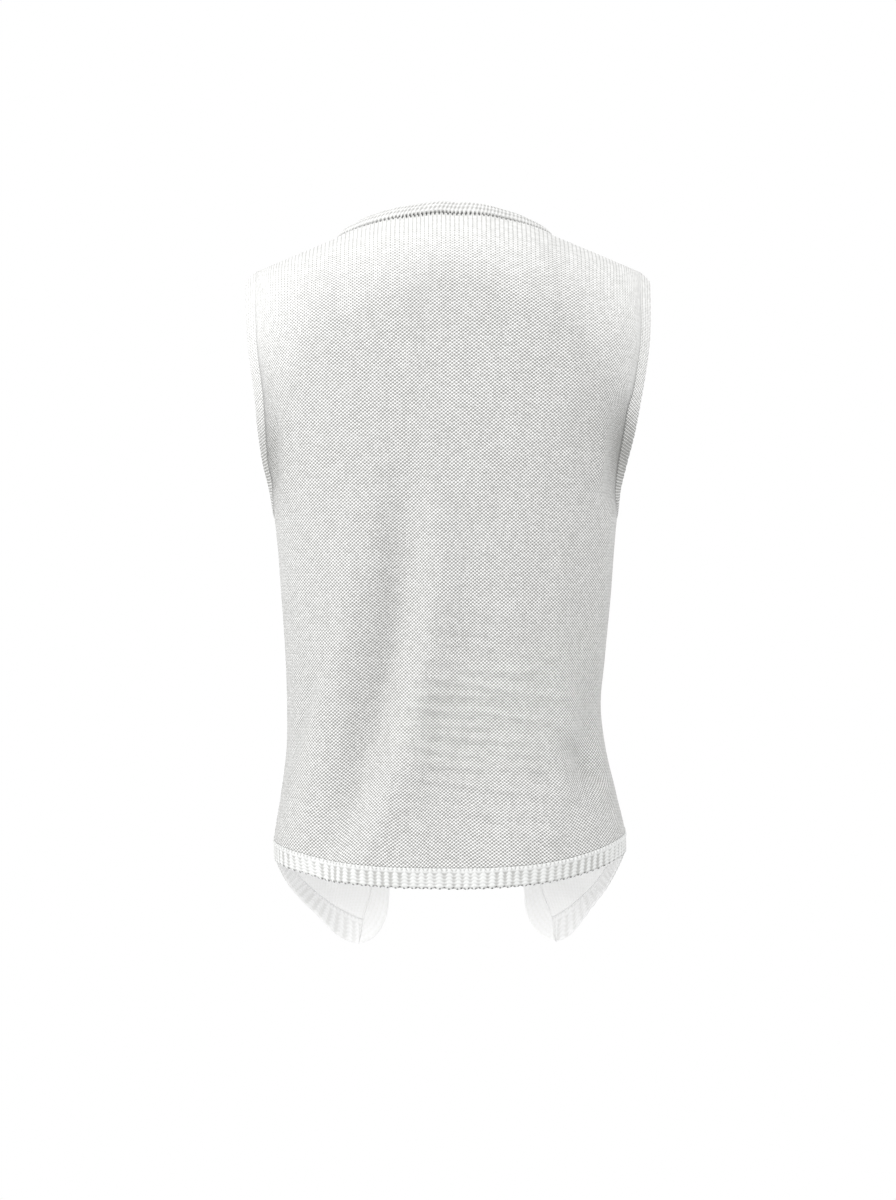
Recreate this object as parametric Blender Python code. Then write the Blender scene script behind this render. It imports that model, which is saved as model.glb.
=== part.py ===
"""Knitted sweater vest, size S, in its worn, filled-out form.

Metres, +Z up. The front faces -Y and the wearer's left is +X. The origin is in the middle of the
shoulder ridge, between the two neck points. Each piece that is knitted and sewn on its own is a wall
of its own, with a seam gap to its neighbours.
"""

import bpy
import numpy as np

# Cloth
PANEL_WALL = 0.0025
RIB_WALL = 0.0032
ROLLED_WALL = 0.0042
SEAM_GAP = 0.0003

# Bands, as widths across the band
HEM_BAND = 0.0170
FRONT_BAND = 0.0165
NECK_BAND = 0.0115
ARMHOLE_BAND = 0.0140
ROLL_RISE = 0.0016
NECK_BAND_REACH = 0.83
NECK_BAND_LEAN = 0.35
NECK_BAND_STAND = 0.93
BAND_NARROWS = 0.10
BAND_NARROWS_CURVE = 1.5

# Shoulders and neck
NECK_HALF = {1: 0.0965, -1: 0.0910}
NECK_LIFT = {1: 0.0055, -1: 0.0015}
NECK_BACK_LEVEL = 0.0195
NECK_BACK_DEPTH = 0.0500
NECK_CURVE = 2.1
NECK_MIDDLE_ROUND = 0.060
NECK_POINT_EASE = 0.12
SHOULDER_PEAK = 0.0445
SHOULDER_SLOPE = 0.4150
SHOULDER_END = 0.1675
BACK_ARCH = 0.120
FRONT_ARCH = 0.150

# Armhole, as the seam between panel and band
ARMHOLE_SEAM_LEVEL = -0.242
ARMHOLE_DEPTH_SHARE = 0.44
ARMHOLE_BACK_FREE = 0.030
ARMHOLE_FRONT_FREE = 0.036
ARMHOLE_TOP_SHARE = 0.72

# Sides
SIDE_FULLNESS = 2.4
SIDE_ROUND = 0.42
BODY_MIDDLE = (0.0, 0.0, -0.25)
LEAST_DEPTH = 0.01

# The body's sections, from the shoulders down to the front points
SECTION_COLUMNS = ("level", "left_half", "right_half", "back_depth", "front_depth")
SECTIONS = (
    (0.020, 0.1775, 0.1775, 0.0980, 0.1000),
    (-0.030, 0.1775, 0.1775, 0.1000, 0.1060),
    (-0.090, 0.1750, 0.1765, 0.1010, 0.1140),
    (-0.140, 0.1690, 0.1690, 0.1010, 0.1190),
    (-0.170, 0.1660, 0.1632, 0.0990, 0.1200),
    (-0.195, 0.1618, 0.1565, 0.0970, 0.1190),
    (-0.220, 0.1550, 0.1500, 0.0950, 0.1170),
    (-0.242, 0.1514, 0.1474, 0.0930, 0.1150),
    (-0.312, 0.1453, 0.1418, 0.0850, 0.1080),
    (-0.365, 0.1418, 0.1368, 0.0770, 0.1020),
    (-0.404, 0.1406, 0.1335, 0.0730, 0.0990),
    (-0.440, 0.1410, 0.1375, 0.0740, 0.0990),
    (-0.483, 0.1461, 0.1475, 0.0830, 0.1010),
    (-0.522, 0.1518, 0.1555, 0.0930, 0.1040),
    (-0.555, 0.1500, 0.1520, 0.0980, 0.1040),
    (-0.630, 0.1400, 0.1400, 0.1000, 0.1000),
)

# The front opening: how far each free edge hangs from the middle
LEAN_STEP = 0.004
OPENING_COLUMNS = ("level", "left_edge", "right_edge")
OPENING = (
    (0.011, 0.0870, 0.0870),
    (-0.040, 0.0840, 0.0850),
    (-0.100, 0.0700, 0.0720),
    (-0.170, 0.0530, 0.0550),
    (-0.240, 0.0430, 0.0470),
    (-0.330, 0.0400, 0.0460),
    (-0.430, 0.0430, 0.0520),
    (-0.520, 0.0495, 0.0620),
    (-0.574, 0.0535, 0.0690),
    (-0.610, 0.0560, 0.0760),
)

# The lower edge: free edge at the side seams, the middle of the back and the front points
HEM_SIDE = {1: -0.5380, -1: -0.5310}
HEM_BACK = -0.5545
HEM_CURVE = 3
POINT_ACROSS = {1: 0.0815, -1: 0.0985}
POINT_LEVEL = {1: -0.6235, -1: -0.6220}
POINT_MITRE = 0.0215
POINT_SHIFT = 0.0035
POINT_FAN = 0.030
POINT_RISE = 0.045
POINT_FULLNESS = 2.2
HEM_LEAN = 1.22
HEM_SAG = 0.034
POINT_FILL = 0.0045
POINT_FILL_END = 0.40
POINT_BLEND = 8

# Large soft folds: where each starts and ends, how it bends, its half width and how far it rises
FOLD_COLUMNS = ("face", "x_top", "level_top", "x_low", "level_low", "bend", "half_width", "rise")
FOLDS = (
    ("back", 0.038, -0.235, 0.104, -0.525, 2.2, 0.020, -0.0125),
    ("back", 0.008, -0.250, 0.072, -0.535, 2.2, 0.018, 0.0060),
    ("back", 0.078, -0.270, 0.130, -0.500, 1.5, 0.019, 0.0050),
    ("back", -0.130, -0.385, -0.116, -0.480, 1.0, 0.013, -0.0085),
    ("back", -0.060, -0.330, -0.075, -0.540, 1.0, 0.026, 0.0025),
    ("back", -0.010, -0.400, -0.014, -0.545, 1.0, 0.020, -0.0015),
    ("front", 0.100, -0.230, 0.088, -0.520, 1.0, 0.020, 0.0040),
    ("front", 0.125, -0.340, 0.118, -0.520, 1.0, 0.016, -0.0035),
    ("front", -0.104, -0.220, -0.100, -0.520, 1.0, 0.020, 0.0040),
    ("front", -0.122, -0.360, -0.126, -0.520, 1.0, 0.016, -0.0035),
)
FOLD_FADE = 12
SIDE_CALM = 8

# How sharply the shoulder's rows close on the ridge, and the front band on the neck point
RIDGE_CLOSING = 40
SHOULDER_DRAWN = 4
BAND_END_TURN = 4
BAND_END_LIFT = 3

# Yarn
YARN_COLOUR = (0.86, 0.86, 0.84, 1.0)
YARN_ROUGHNESS = 0.9

# Grid
NECK_COLUMNS = 8
SHOULDER_COLUMNS = 7
LOW_ROWS = 16
ARMHOLE_ROWS = 12
ROW_CROWDING = 1.45


def table(columns, rows):
    """Turns rows of numbers into named columns, lowest level first."""
    ordered = sorted(rows)
    return {name: np.array([row[i] for row in ordered]) for i, name in enumerate(columns)}


SECTION = table(SECTION_COLUMNS, SECTIONS)
EDGE = table(OPENING_COLUMNS, OPENING)


def smooth(of, column, level):
    """Reads a table's column at any level, as a curve through its rows."""
    at = of["level"]
    value = of[column]
    slope = np.gradient(value, at)
    level = np.clip(level, at[0], at[-1])
    i = np.clip(np.searchsorted(at, level) - 1, 0, len(at) - 2)
    step = at[i + 1] - at[i]
    t = (level - at[i]) / step
    start = (2 * t**3 - 3 * t**2 + 1) * value[i] + (t**3 - 2 * t**2 + t) * step * slope[i]
    end = (3 * t**2 - 2 * t**3) * value[i + 1] + (t**3 - t**2) * step * slope[i + 1]
    return start + end


def half_width(x_sign, level):
    """Half the body's width at a level, on the side that x_sign points to."""
    left = smooth(SECTION, "left_half", level)
    right = smooth(SECTION, "right_half", level)
    return np.where(np.asarray(x_sign) >= 0, left, right)


def crest(x):
    """Level of the shoulder ridge above any point across."""
    return SHOULDER_PEAK - SHOULDER_SLOPE * np.abs(x)


def rounded_crest(x):
    """The same ridge, rounded over its middle, where there is no ridge but the neck."""
    near = np.minimum(np.abs(x), NECK_MIDDLE_ROUND)
    eased = (near**2 + NECK_MIDDLE_ROUND**2) / (2 * NECK_MIDDLE_ROUND)
    return SHOULDER_PEAK - SHOULDER_SLOPE * np.maximum(np.abs(x), eased)


def neck_half(x):
    """Half the neck's width on the side that x is on."""
    return np.where(np.asarray(x) >= 0, NECK_HALF[1], NECK_HALF[-1])


def neck_seam(x):
    """Level and depth of the back neck seam."""
    share = np.clip(np.abs(x) / neck_half(x), 0, 1)
    level = NECK_BACK_LEVEL - (NECK_BACK_LEVEL - crest(neck_half(x))) * share**NECK_CURVE
    return level, NECK_BACK_DEPTH * np.sqrt(1 - share**2)


def bow(share):
    """How full a section is between its middle (1) and its side (0)."""
    return (1 - np.clip(np.abs(share), 0, 1) ** SIDE_FULLNESS) ** SIDE_ROUND


def arch(below, depth):
    """How far the cloth has come over the shoulder, 0 at the ridge and 1 a full arch below it."""
    left = 1 - np.clip(below / depth, 0, 1)
    return np.sqrt(1 - left**2)


def back_form(x, level, x_top):
    """Depth of the back at a point whose column ends at x_top on the neck or shoulder."""
    full = smooth(SECTION, "back_depth", level) * bow(np.abs(x) / half_width(x, level))
    share = np.abs(x_top) / neck_half(x_top)
    neck_level = NECK_BACK_LEVEL - (NECK_BACK_LEVEL - crest(neck_half(x_top))) * share**NECK_CURVE
    reach = (NECK_BACK_DEPTH / np.maximum(full, LEAST_DEPTH)) ** 2 * (1 - share**2)
    above = BACK_ARCH * (1 - np.sqrt(1 - np.clip(reach, -0.9, 0.9)))
    ridge_level = rounded_crest(x_top)
    over_neck = neck_level + above - ridge_level
    ease = NECK_POINT_EASE * np.maximum(ridge_level - level, 0)
    over_neck = (over_neck + np.sqrt(over_neck**2 + ease**2)) / 2
    return full * arch(ridge_level + over_neck - level, BACK_ARCH)


def front_form(x, level):
    """Depth of the front at any point of it, negative as the front faces -Y."""
    share = np.abs(x) / half_width(x, level)
    full = smooth(SECTION, "front_depth", level) * bow(share)
    return -full * arch(crest(x) - level, FRONT_ARCH)


def fold_rise(face, x, level):
    """How far the large folds lift the cloth here, fading out at the side seams."""
    total = np.zeros(np.broadcast(x, level).shape)
    for row in FOLDS:
        fold = dict(zip(FOLD_COLUMNS, row))
        if fold["face"] != face:
            continue
        along = (level - fold["level_top"]) / (fold["level_low"] - fold["level_top"])
        run = np.clip(along, 0, None) ** fold["bend"]
        middle = fold["x_top"] + (fold["x_low"] - fold["x_top"]) * run
        across = (x - middle) / fold["half_width"]
        ends = 1 / (1 + np.exp(-FOLD_FADE * along)) / (1 + np.exp(FOLD_FADE * (along - 1)))
        total = total + fold["rise"] * np.exp(-(across**2)) * ends
    share = np.clip(np.abs(x) / half_width(x, level), 0, 1)
    return total * (1 - share**SIDE_CALM)


def armhole_row(turn, side):
    """The armhole seam where it has turned this far from the side seam (0) to the shoulder (pi)."""
    share = (1 - np.cos(turn)) / 2
    level = ARMHOLE_SEAM_LEVEL + (crest(SHOULDER_END) - ARMHOLE_SEAM_LEVEL) * share
    wide = half_width(side, level)
    sunk = (ARMHOLE_DEPTH_SHARE * np.sin(min(turn, np.pi / 2))) ** (1 / SIDE_ROUND)
    low_x = wide * (1 - sunk) ** (1 / SIDE_FULLNESS)
    over = max(0, -np.cos(turn))
    return low_x + (SHOULDER_END - low_x) * over**2, share


def column_shares(side, count_in, count_out):
    """Where the columns stand across a half back, low down and along the neck and shoulder."""
    point = NECK_HALF[side] / SHOULDER_END
    turn = np.arcsin(point)
    outer = np.sin(np.linspace(turn, np.pi / 2, count_out + 1))[1:]
    low = np.sin(np.linspace(0, turn, count_in + 1))
    top = point * np.sin(np.linspace(0, np.pi / 2, count_in + 1))
    return np.concatenate([low, outer]), np.concatenate([top, outer])


def back_grid():
    """Rows from the hem band's seam up to the neck and shoulders, columns from -X to +X."""
    left, left_top = column_shares(1, NECK_COLUMNS, SHOULDER_COLUMNS)
    right, right_top = column_shares(-1, NECK_COLUMNS, SHOULDER_COLUMNS)
    low_share = np.concatenate([-right[:0:-1], left])
    top_share = np.concatenate([-right_top[:0:-1], left_top])
    x_top = top_share * SHOULDER_END
    sides = np.where(low_share >= 0, HEM_SIDE[1], HEM_SIDE[-1])
    low = HEM_BACK + (sides - HEM_BACK) * np.abs(low_share) ** HEM_CURVE + HEM_BAND
    rows = []
    for i in range(LOW_ROWS):
        up = (i / LOW_ROWS) ** ROW_CROWDING
        level = low + (ARMHOLE_SEAM_LEVEL - low) * up
        x = low_share * half_width(low_share, level)
        rows.append(np.stack([x, back_form(x, level, x_top), level], axis=-1))
    in_neck = np.abs(x_top) < neck_half(x_top) - 1e-6
    top = np.where(in_neck, neck_seam(x_top)[0], crest(x_top))
    for turn in np.linspace(0, np.pi, ARMHOLE_ROWS + 1):
        x_left, up = armhole_row(turn, 1)
        x_right, _ = armhole_row(turn, -1)
        share = low_share + (top_share - low_share) * up**2
        x = share * np.where(share >= 0, x_left, x_right)
        level = ARMHOLE_SEAM_LEVEL + (top - ARMHOLE_SEAM_LEVEL) * up
        rows.append(np.stack([x, back_form(x, level, x_top), level], axis=-1))
    return np.array(rows)


def front_band_width(level):
    """The band is drawn in a little where it comes over the shoulder."""
    near = np.clip((level + BAND_NARROWS) / BAND_NARROWS, 0, 1)
    return FRONT_BAND + (NECK_BAND * NECK_BAND_REACH - FRONT_BAND) * near**BAND_NARROWS_CURVE


def opening_edge(side, level):
    """How far out the front band's free edge hangs, and how much it leans there."""
    column = "left_edge" if side > 0 else "right_edge"
    run = smooth(EDGE, column, level + LEAN_STEP) - smooth(EDGE, column, level - LEAN_STEP)
    return smooth(EDGE, column, level), np.arctan(run / (2 * LEAN_STEP))


def opening_seam(side, level):
    """How far out the seam between front and front band runs."""
    free, lean = opening_edge(side, level)
    seam = free + front_band_width(level) / np.cos(lean)
    corner = POINT_LEVEL[side] + POINT_MITRE
    near = np.clip((level - corner) / POINT_FAN, 0, 1)
    corner_x = POINT_ACROSS[side] - POINT_SHIFT
    return corner_x + (seam - corner_x) * np.sin(near * np.pi / 2)


def front_grid(side):
    """Rows from the hem band's seam up to the shoulder seam, columns from the opening to the side."""
    corner = POINT_LEVEL[side] + POINT_MITRE
    side_low = HEM_SIDE[side] + HEM_BAND * HEM_LEAN
    along = np.linspace(0, 1, NECK_COLUMNS + SHOULDER_COLUMNS + 1)
    low = corner + (side_low - corner) * along - HEM_SAG * along * (1 - along) ** 2
    rows = []
    for i in range(LOW_ROWS):
        up = (i / LOW_ROWS) ** ROW_CROWDING
        level = low + (ARMHOLE_SEAM_LEVEL - low) * up
        wide = half_width(side, level)
        start = np.arcsin(opening_seam(side, level[0]) / wide[0])
        x = side * wide * np.sin(start + (np.pi / 2 - start) * along)
        rows.append(np.stack([x, front_form(x, level), level], axis=-1))
    first = np.arcsin(NECK_HALF[side] / SHOULDER_END)
    x_top = SHOULDER_END * np.sin(first + (np.pi / 2 - first) * along)
    ridge = crest(NECK_HALF[side])
    short = NECK_HALF[side] - opening_seam(side, ridge)
    for turn in np.linspace(0, np.pi, ARMHOLE_ROWS + 1):
        x_edge, up = armhole_row(turn, side)
        inner_level = ARMHOLE_SEAM_LEVEL + (ridge - ARMHOLE_SEAM_LEVEL) * up
        start = np.arcsin((opening_seam(side, inner_level) + short * up**SHOULDER_DRAWN) / x_edge)
        x = side * x_edge * np.sin(start + (np.pi / 2 - start) * along)
        level = ARMHOLE_SEAM_LEVEL + (crest(x_top) - ARMHOLE_SEAM_LEVEL) * up
        y = -np.abs(front_form(x, level)) * (1 - up**RIDGE_CLOSING)
        rows.append(np.stack([x, y, level], axis=-1))
    return np.array(rows)


def normals(grid, outward):
    """Unit normals of a grid, turned to the side that outward points to."""
    across = np.gradient(grid, axis=1)
    up = np.gradient(grid, axis=0)
    n = np.cross(across, up)
    n = n / np.maximum(np.linalg.norm(n, axis=-1, keepdims=True), 1e-12)
    facing = np.sign(np.sum(n * outward, axis=-1, keepdims=True))
    return n * np.where(facing == 0, 1, facing)


def without_y(n):
    """The same normals turned square to Y, for edges that meet across a seam."""
    flat = n.copy()
    flat[..., 1] = 0
    return flat / np.linalg.norm(flat, axis=-1, keepdims=True)


def panel(grid, face):
    """Lays the folds on a grid, opens its seams and gives it with its normals."""
    n = normals(grid, grid - BODY_MIDDLE)
    rise = fold_rise(face, grid[..., 0], grid[..., 2])
    grid = grid + n * rise[..., None]
    n = normals(grid, grid - BODY_MIDDLE)
    half_gap = SEAM_GAP / 2 if face == "back" else -SEAM_GAP / 2
    low = slice(0, LOW_ROWS + 1)
    for column in (0, -1) if face == "back" else (-1,):
        n[low, column] = without_y(n[low, column])
        grid[low, column, 1] = half_gap
    shoulder = np.abs(grid[-1, :, 0]) >= (neck_half(grid[-1, :, 0]) - 1e-4 if face == "back" else 0)
    n[-1, shoulder] = without_y(n[-1, shoulder])
    grid[-1, shoulder, 1] = half_gap
    return grid, n


def wall(name, outer, inner, looped=False):
    """A closed wall between two grids, the outer one facing out."""
    rows, columns = outer.shape[:2]
    turns = rows if looped else rows - 1
    points = np.concatenate([outer.reshape(-1, 3), inner.reshape(-1, 3)])
    back = rows * columns
    faces = []
    for r in range(turns):
        s = (r + 1) % rows
        for c in range(columns - 1):
            a = r * columns + c
            b = r * columns + c + 1
            d = s * columns + c + 1
            e = s * columns + c
            faces.append((a, b, d, e))
            faces.append((back + e, back + d, back + b, back + a))
        for c, flip in ((0, False), (columns - 1, True)):
            a = r * columns + c
            e = s * columns + c
            quad = (a, e, back + e, back + a)
            faces.append(quad[::-1] if flip else quad)
    if not looped:
        for c in range(columns - 1):
            faces.append((c + 1, c, back + c, back + c + 1))
            t = (rows - 1) * columns + c
            faces.append((t, t + 1, back + t + 1, back + t))
    mesh = bpy.data.meshes.new(name)
    mesh.from_pydata([tuple(p) for p in points], [], faces)
    mesh.validate()
    if signed_volume(mesh) < 0:
        mesh.flip_normals()
    piece = bpy.data.objects.new(name, mesh)
    bpy.context.scene.collection.objects.link(piece)
    return piece


def signed_volume(mesh):
    """The volume inside a mesh, negative where its faces point inward."""
    mesh.calc_loop_triangles()
    at = np.array([v.co for v in mesh.vertices])
    corner = np.array([t.vertices for t in mesh.loop_triangles])
    a, b, c = at[corner[:, 0]], at[corner[:, 1]], at[corner[:, 2]]
    return float(np.sum(a * np.cross(b, c)) / 6)


def band(name, seam, seam_normal, free, free_normal, thickness, rise=0.0, looped=False):
    """A strip from a panel's edge to its own free edge, a little rounded across."""
    toward = free - seam
    length = np.linalg.norm(toward, axis=-1, keepdims=True)
    start = seam + toward / length * SEAM_GAP
    middle_normal = seam_normal + free_normal
    middle_normal = middle_normal / np.linalg.norm(middle_normal, axis=-1, keepdims=True)
    middle = (start + free) / 2 + middle_normal * rise
    outer = np.stack([start, middle, free], axis=1)
    under = [
        start - seam_normal * min(thickness, PANEL_WALL),
        middle - middle_normal * thickness,
        free - free_normal * min(thickness, PANEL_WALL),
    ]
    return wall(name, outer, np.stack(under, axis=1), looped)


def hem_free(grid, n, face, drop):
    """The free edge of a hem band below a panel's lowest row."""
    seam = grid[0]
    level = seam[:, 2] - drop
    if face == "front":
        along = np.linspace(0, 1 / POINT_FILL_END, len(level))
        level = level - POINT_FILL * np.sin(np.pi * np.clip(along, 0, 1))
    x = seam[:, 0] * half_width(seam[:, 0], level) / half_width(seam[:, 0], seam[:, 2])
    y = back_form(x, level, x) if face == "back" else front_form(x, level)
    free = np.stack([x, y, level], axis=-1) + n[0] * fold_rise(face, x, level)[:, None]
    for end in (0, -1) if face == "back" else (-1,):
        free[end, 1] = seam[end, 1]
    return free


def front_band_free(grid, n, side):
    """The free edge of the front band, from the mitre at the point up to the ridge."""
    seam = grid[:, 0]
    level = seam[:, 2]
    _, lean = opening_edge(side, level)
    wide = front_band_width(level)
    over = np.clip(1 - (level[-1] - level) / BAND_NARROWS, 0, 1)
    x = np.abs(seam[:, 0]) - wide * np.cos(lean)
    up = level + wide * np.sin(lean) * (1 - over**BAND_END_TURN) + NECK_LIFT[side] * over**BAND_END_LIFT
    near = np.clip((level - level[0]) / POINT_FAN, 0, 1)
    turn = near * np.pi / 2
    foot = POINT_LEVEL[side] + POINT_RISE
    foot_x, _ = opening_edge(side, foot)
    bend = 2 / POINT_FULLNESS
    round_x = POINT_ACROSS[side] - (POINT_ACROSS[side] - foot_x) * np.sin(turn) ** bend
    round_up = POINT_LEVEL[side] + POINT_RISE * (1 - np.clip(np.cos(turn), 0, 1) ** bend)
    ease = np.clip((level - level[0] - POINT_FAN) / POINT_FAN, 0, 1)
    x = np.where(near < 1, round_x, foot_x + (x - foot_x) * np.minimum(1, ease * POINT_BLEND))
    up = np.where(near < 1, round_up, up + (foot - level[0] - POINT_FAN) * (1 - ease))
    y = front_form(side * x, up)
    free = np.stack([side * x, y, up], axis=-1)
    free = free + n[:, 0] * fold_rise("front", side * x, up)[:, None]
    free[-1, 1] = seam[-1, 1]
    return free


def armhole_free(side):
    """The armhole's free edge, back from side seam to shoulder and front from shoulder to side seam."""
    turn = np.linspace(0, np.pi, ARMHOLE_ROWS + 1)
    low = ARMHOLE_SEAM_LEVEL + ARMHOLE_BAND
    top = crest(SHOULDER_END) - ARMHOLE_BAND * ARMHOLE_TOP_SHARE
    level = low + (top - low) * (1 - np.cos(turn)) / 2
    x = side * (half_width(side, level) - ROLL_RISE * np.sin(turn))
    back = np.stack([x, ARMHOLE_BACK_FREE * np.sin(turn), level], axis=-1)
    front = np.stack([x, -ARMHOLE_FRONT_FREE * np.sin(turn), level], axis=-1)
    return np.concatenate([back, front[-2:0:-1]])


def armhole_band(name, side, back, back_n, front, front_n):
    """The looped band of one armhole, between the back's and the front's armhole edges."""
    column = -1 if side > 0 else 0
    rows = slice(LOW_ROWS, None)
    seam_back, n_back = back[rows, column], back_n[rows, column]
    seam_front, n_front = front[rows, -1], front_n[rows, -1]
    seam = np.concatenate([seam_back, seam_front[-2:0:-1]])
    n = np.concatenate([n_back, n_front[-2:0:-1]])
    for i in (0, len(seam_back) - 1):
        seam[i, 1] = 0
        n[i] = without_y(n[i])
    free = armhole_free(side)
    along = np.roll(free, -1, axis=0) - np.roll(free, 1, axis=0)
    outward = np.cross(along, free - seam)
    outward = outward / np.linalg.norm(outward, axis=-1, keepdims=True)
    facing = np.sign(np.sum(outward * n, axis=-1, keepdims=True))
    return band(name, seam, n, free, outward * facing, ROLLED_WALL, ROLL_RISE, looped=True)


def neck_band(name, back, back_n):
    """The narrow band that stands up from the back neck seam and leans a little forward."""
    first = SHOULDER_COLUMNS
    last = first + 2 * NECK_COLUMNS + 1
    seam, n = back[-1, first:last], back_n[-1, first:last]
    round_share = seam[:, 0] / neck_half(seam[:, 0])
    middle = np.sqrt(np.clip(1 - round_share**2, 0, 1))
    ends = np.where(round_share >= 0, NECK_LIFT[1], NECK_LIFT[-1])
    across = -NECK_BAND_REACH * NECK_BAND * round_share
    ahead = -NECK_BAND_LEAN * NECK_BAND * middle
    up = ends + (NECK_BAND * NECK_BAND_STAND - ends) * middle
    step = np.stack([across, ahead, up], axis=-1)
    free = seam + step
    along = np.gradient(free, axis=0)
    outward = np.cross(along, step)
    outward = outward / np.linalg.norm(outward, axis=-1, keepdims=True)
    outward = outward * np.sign(np.sum(outward * n, axis=-1, keepdims=True))
    for i in (0, -1):
        outward[i] = without_y(outward[i])
    return band(name, seam, n, free, outward, ROLLED_WALL, ROLL_RISE)


def knit(name):
    """A plain white yarn."""
    material = bpy.data.materials.new(name)
    material.use_nodes = True
    shader = material.node_tree.nodes["Principled BSDF"]
    shader.inputs["Base Color"].default_value = YARN_COLOUR
    shader.inputs["Roughness"].default_value = YARN_ROUGHNESS
    return material


for old in list(bpy.data.objects):
    bpy.data.objects.remove(old)

made = []
back, back_n = panel(back_grid(), "back")
made.append(wall("back_panel", back, back - back_n * PANEL_WALL))
hem = hem_free(back, back_n, "back", HEM_BAND)
made.append(band("back_hem_band", back[0], back_n[0], hem, back_n[0], RIB_WALL))
made.append(neck_band("neck_band", back, back_n))

for side, word in ((1, "left"), (-1, "right")):
    front, front_n = panel(front_grid(side), "front")
    made.append(wall(word + "_front", front, front - front_n * PANEL_WALL))
    edge = front_band_free(front, front_n, side)
    made.append(band(word + "_front_band", front[:, 0], front_n[:, 0], edge, front_n[:, 0], RIB_WALL))
    hem = hem_free(front, front_n, "front", HEM_BAND * HEM_LEAN)
    hem[0] = edge[0]
    made.append(band(word + "_hem_band", front[0], front_n[0], hem, front_n[0], RIB_WALL))
    made.append(armhole_band(word + "_armhole_band", side, back, back_n, front, front_n))

for piece in made:
    piece.data.materials.append(knit(piece.name + "_yarn"))
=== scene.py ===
# %% [markdown]
# # A knitted sweater vest, seen from behind
#
# The vest is knitted in thin white cotton yarn, with its purl side out. It has a back, two fronts that
# end in points, and narrow bands along the hem, the opening, the neck and the armholes. It hangs open
# and filled out, as if worn by nobody. Each piece is cloth, so each is built here as a thin shell that
# follows one smooth form. The form is worked out by a few functions of height and distance across, and
# those are the pattern that every shell is cut from.

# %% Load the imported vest
import math
import bpy
import numpy as np
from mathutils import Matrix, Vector


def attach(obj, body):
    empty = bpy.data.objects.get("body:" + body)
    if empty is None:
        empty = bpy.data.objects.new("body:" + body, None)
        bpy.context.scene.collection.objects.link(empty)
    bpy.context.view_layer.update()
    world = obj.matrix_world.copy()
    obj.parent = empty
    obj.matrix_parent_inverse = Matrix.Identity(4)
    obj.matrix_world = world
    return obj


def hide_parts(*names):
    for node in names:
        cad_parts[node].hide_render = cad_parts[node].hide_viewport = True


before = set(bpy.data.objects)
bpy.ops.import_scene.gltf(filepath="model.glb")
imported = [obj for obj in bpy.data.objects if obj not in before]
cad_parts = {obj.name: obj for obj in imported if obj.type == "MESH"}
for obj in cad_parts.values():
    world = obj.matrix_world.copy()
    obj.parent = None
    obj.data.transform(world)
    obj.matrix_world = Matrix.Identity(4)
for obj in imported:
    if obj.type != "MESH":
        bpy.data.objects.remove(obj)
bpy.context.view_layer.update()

bpy.ops.object.select_all(action="DESELECT")
print("solids to dress:", sorted(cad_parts))

# %% [markdown]
# ## The vest's sizes
#
# All sizes are in metres, with the origin in the middle of the shoulder ridge, +Z up, and the front
# facing -Y. A knitter would write these down as a schematic: half widths and depths at a few heights,
# the slope of the shoulders, the depth of the neck and armholes, and how low each edge hangs. Sides are
# 1 for the wearer's left, on +X, and -1 for the right, because the vest isn't quite even.

# %% Sizes of the cloth, the bands and the openings
PANEL_WALL = 0.0025
SEAM_GAP = 0.0003
HEM_BAND = 0.0170
FRONT_BAND = 0.0165
NECK_BAND = 0.0115
ARMHOLE_BAND = 0.0140
NECK_BAND_REACH = 0.83
NECK_BAND_LEAN = 0.35
NECK_BAND_STAND = 0.93
BAND_NARROWS = 0.10

NECK_HALF = {1: 0.0965, -1: 0.0910}
NECK_LIFT = {1: 0.0055, -1: 0.0015}
NECK_BACK_LEVEL = 0.0195
NECK_BACK_DEPTH = 0.0500
NECK_CURVE = 2.1
NECK_POINT_EASE = 0.12
NECK_MIDDLE_ROUND = 0.060
SHOULDER_PEAK = 0.0445
SHOULDER_SLOPE = 0.4150
SHOULDER_END = 0.1675
BACK_ARCH = 0.120
FRONT_ARCH = 0.150
ARMHOLE_SEAM_LEVEL = -0.242
ARMHOLE_DEPTH_SHARE = 0.44
ARMHOLE_BACK_FREE = 0.030
ARMHOLE_FRONT_FREE = 0.036
ARMHOLE_TOP_SHARE = 0.72
SIDE_FULLNESS = 2.4
SIDE_ROUND = 0.42
BODY_MIDDLE = (0.0, 0.0, -0.25)

HEM_SIDE = {1: -0.5380, -1: -0.5310}
HEM_BACK = -0.5545
POINT_ACROSS = {1: 0.0815, -1: 0.0985}
POINT_LEVEL = {1: -0.6235, -1: -0.6207}
POINT_MITRE = 0.0215
POINT_SHIFT = 0.0035
POINT_FAN = 0.030
POINT_RISE = 0.045
POINT_FULLNESS = 2.2
HEM_LEAN = 1.22
HEM_SAG = 0.034
POINT_FILL = 0.0045
POINT_FILL_END = 0.40
print("from the shoulder ridge to the hem:", round(-HEM_BACK, 3), "m, to the points:", -POINT_LEVEL[1], "m")

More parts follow.
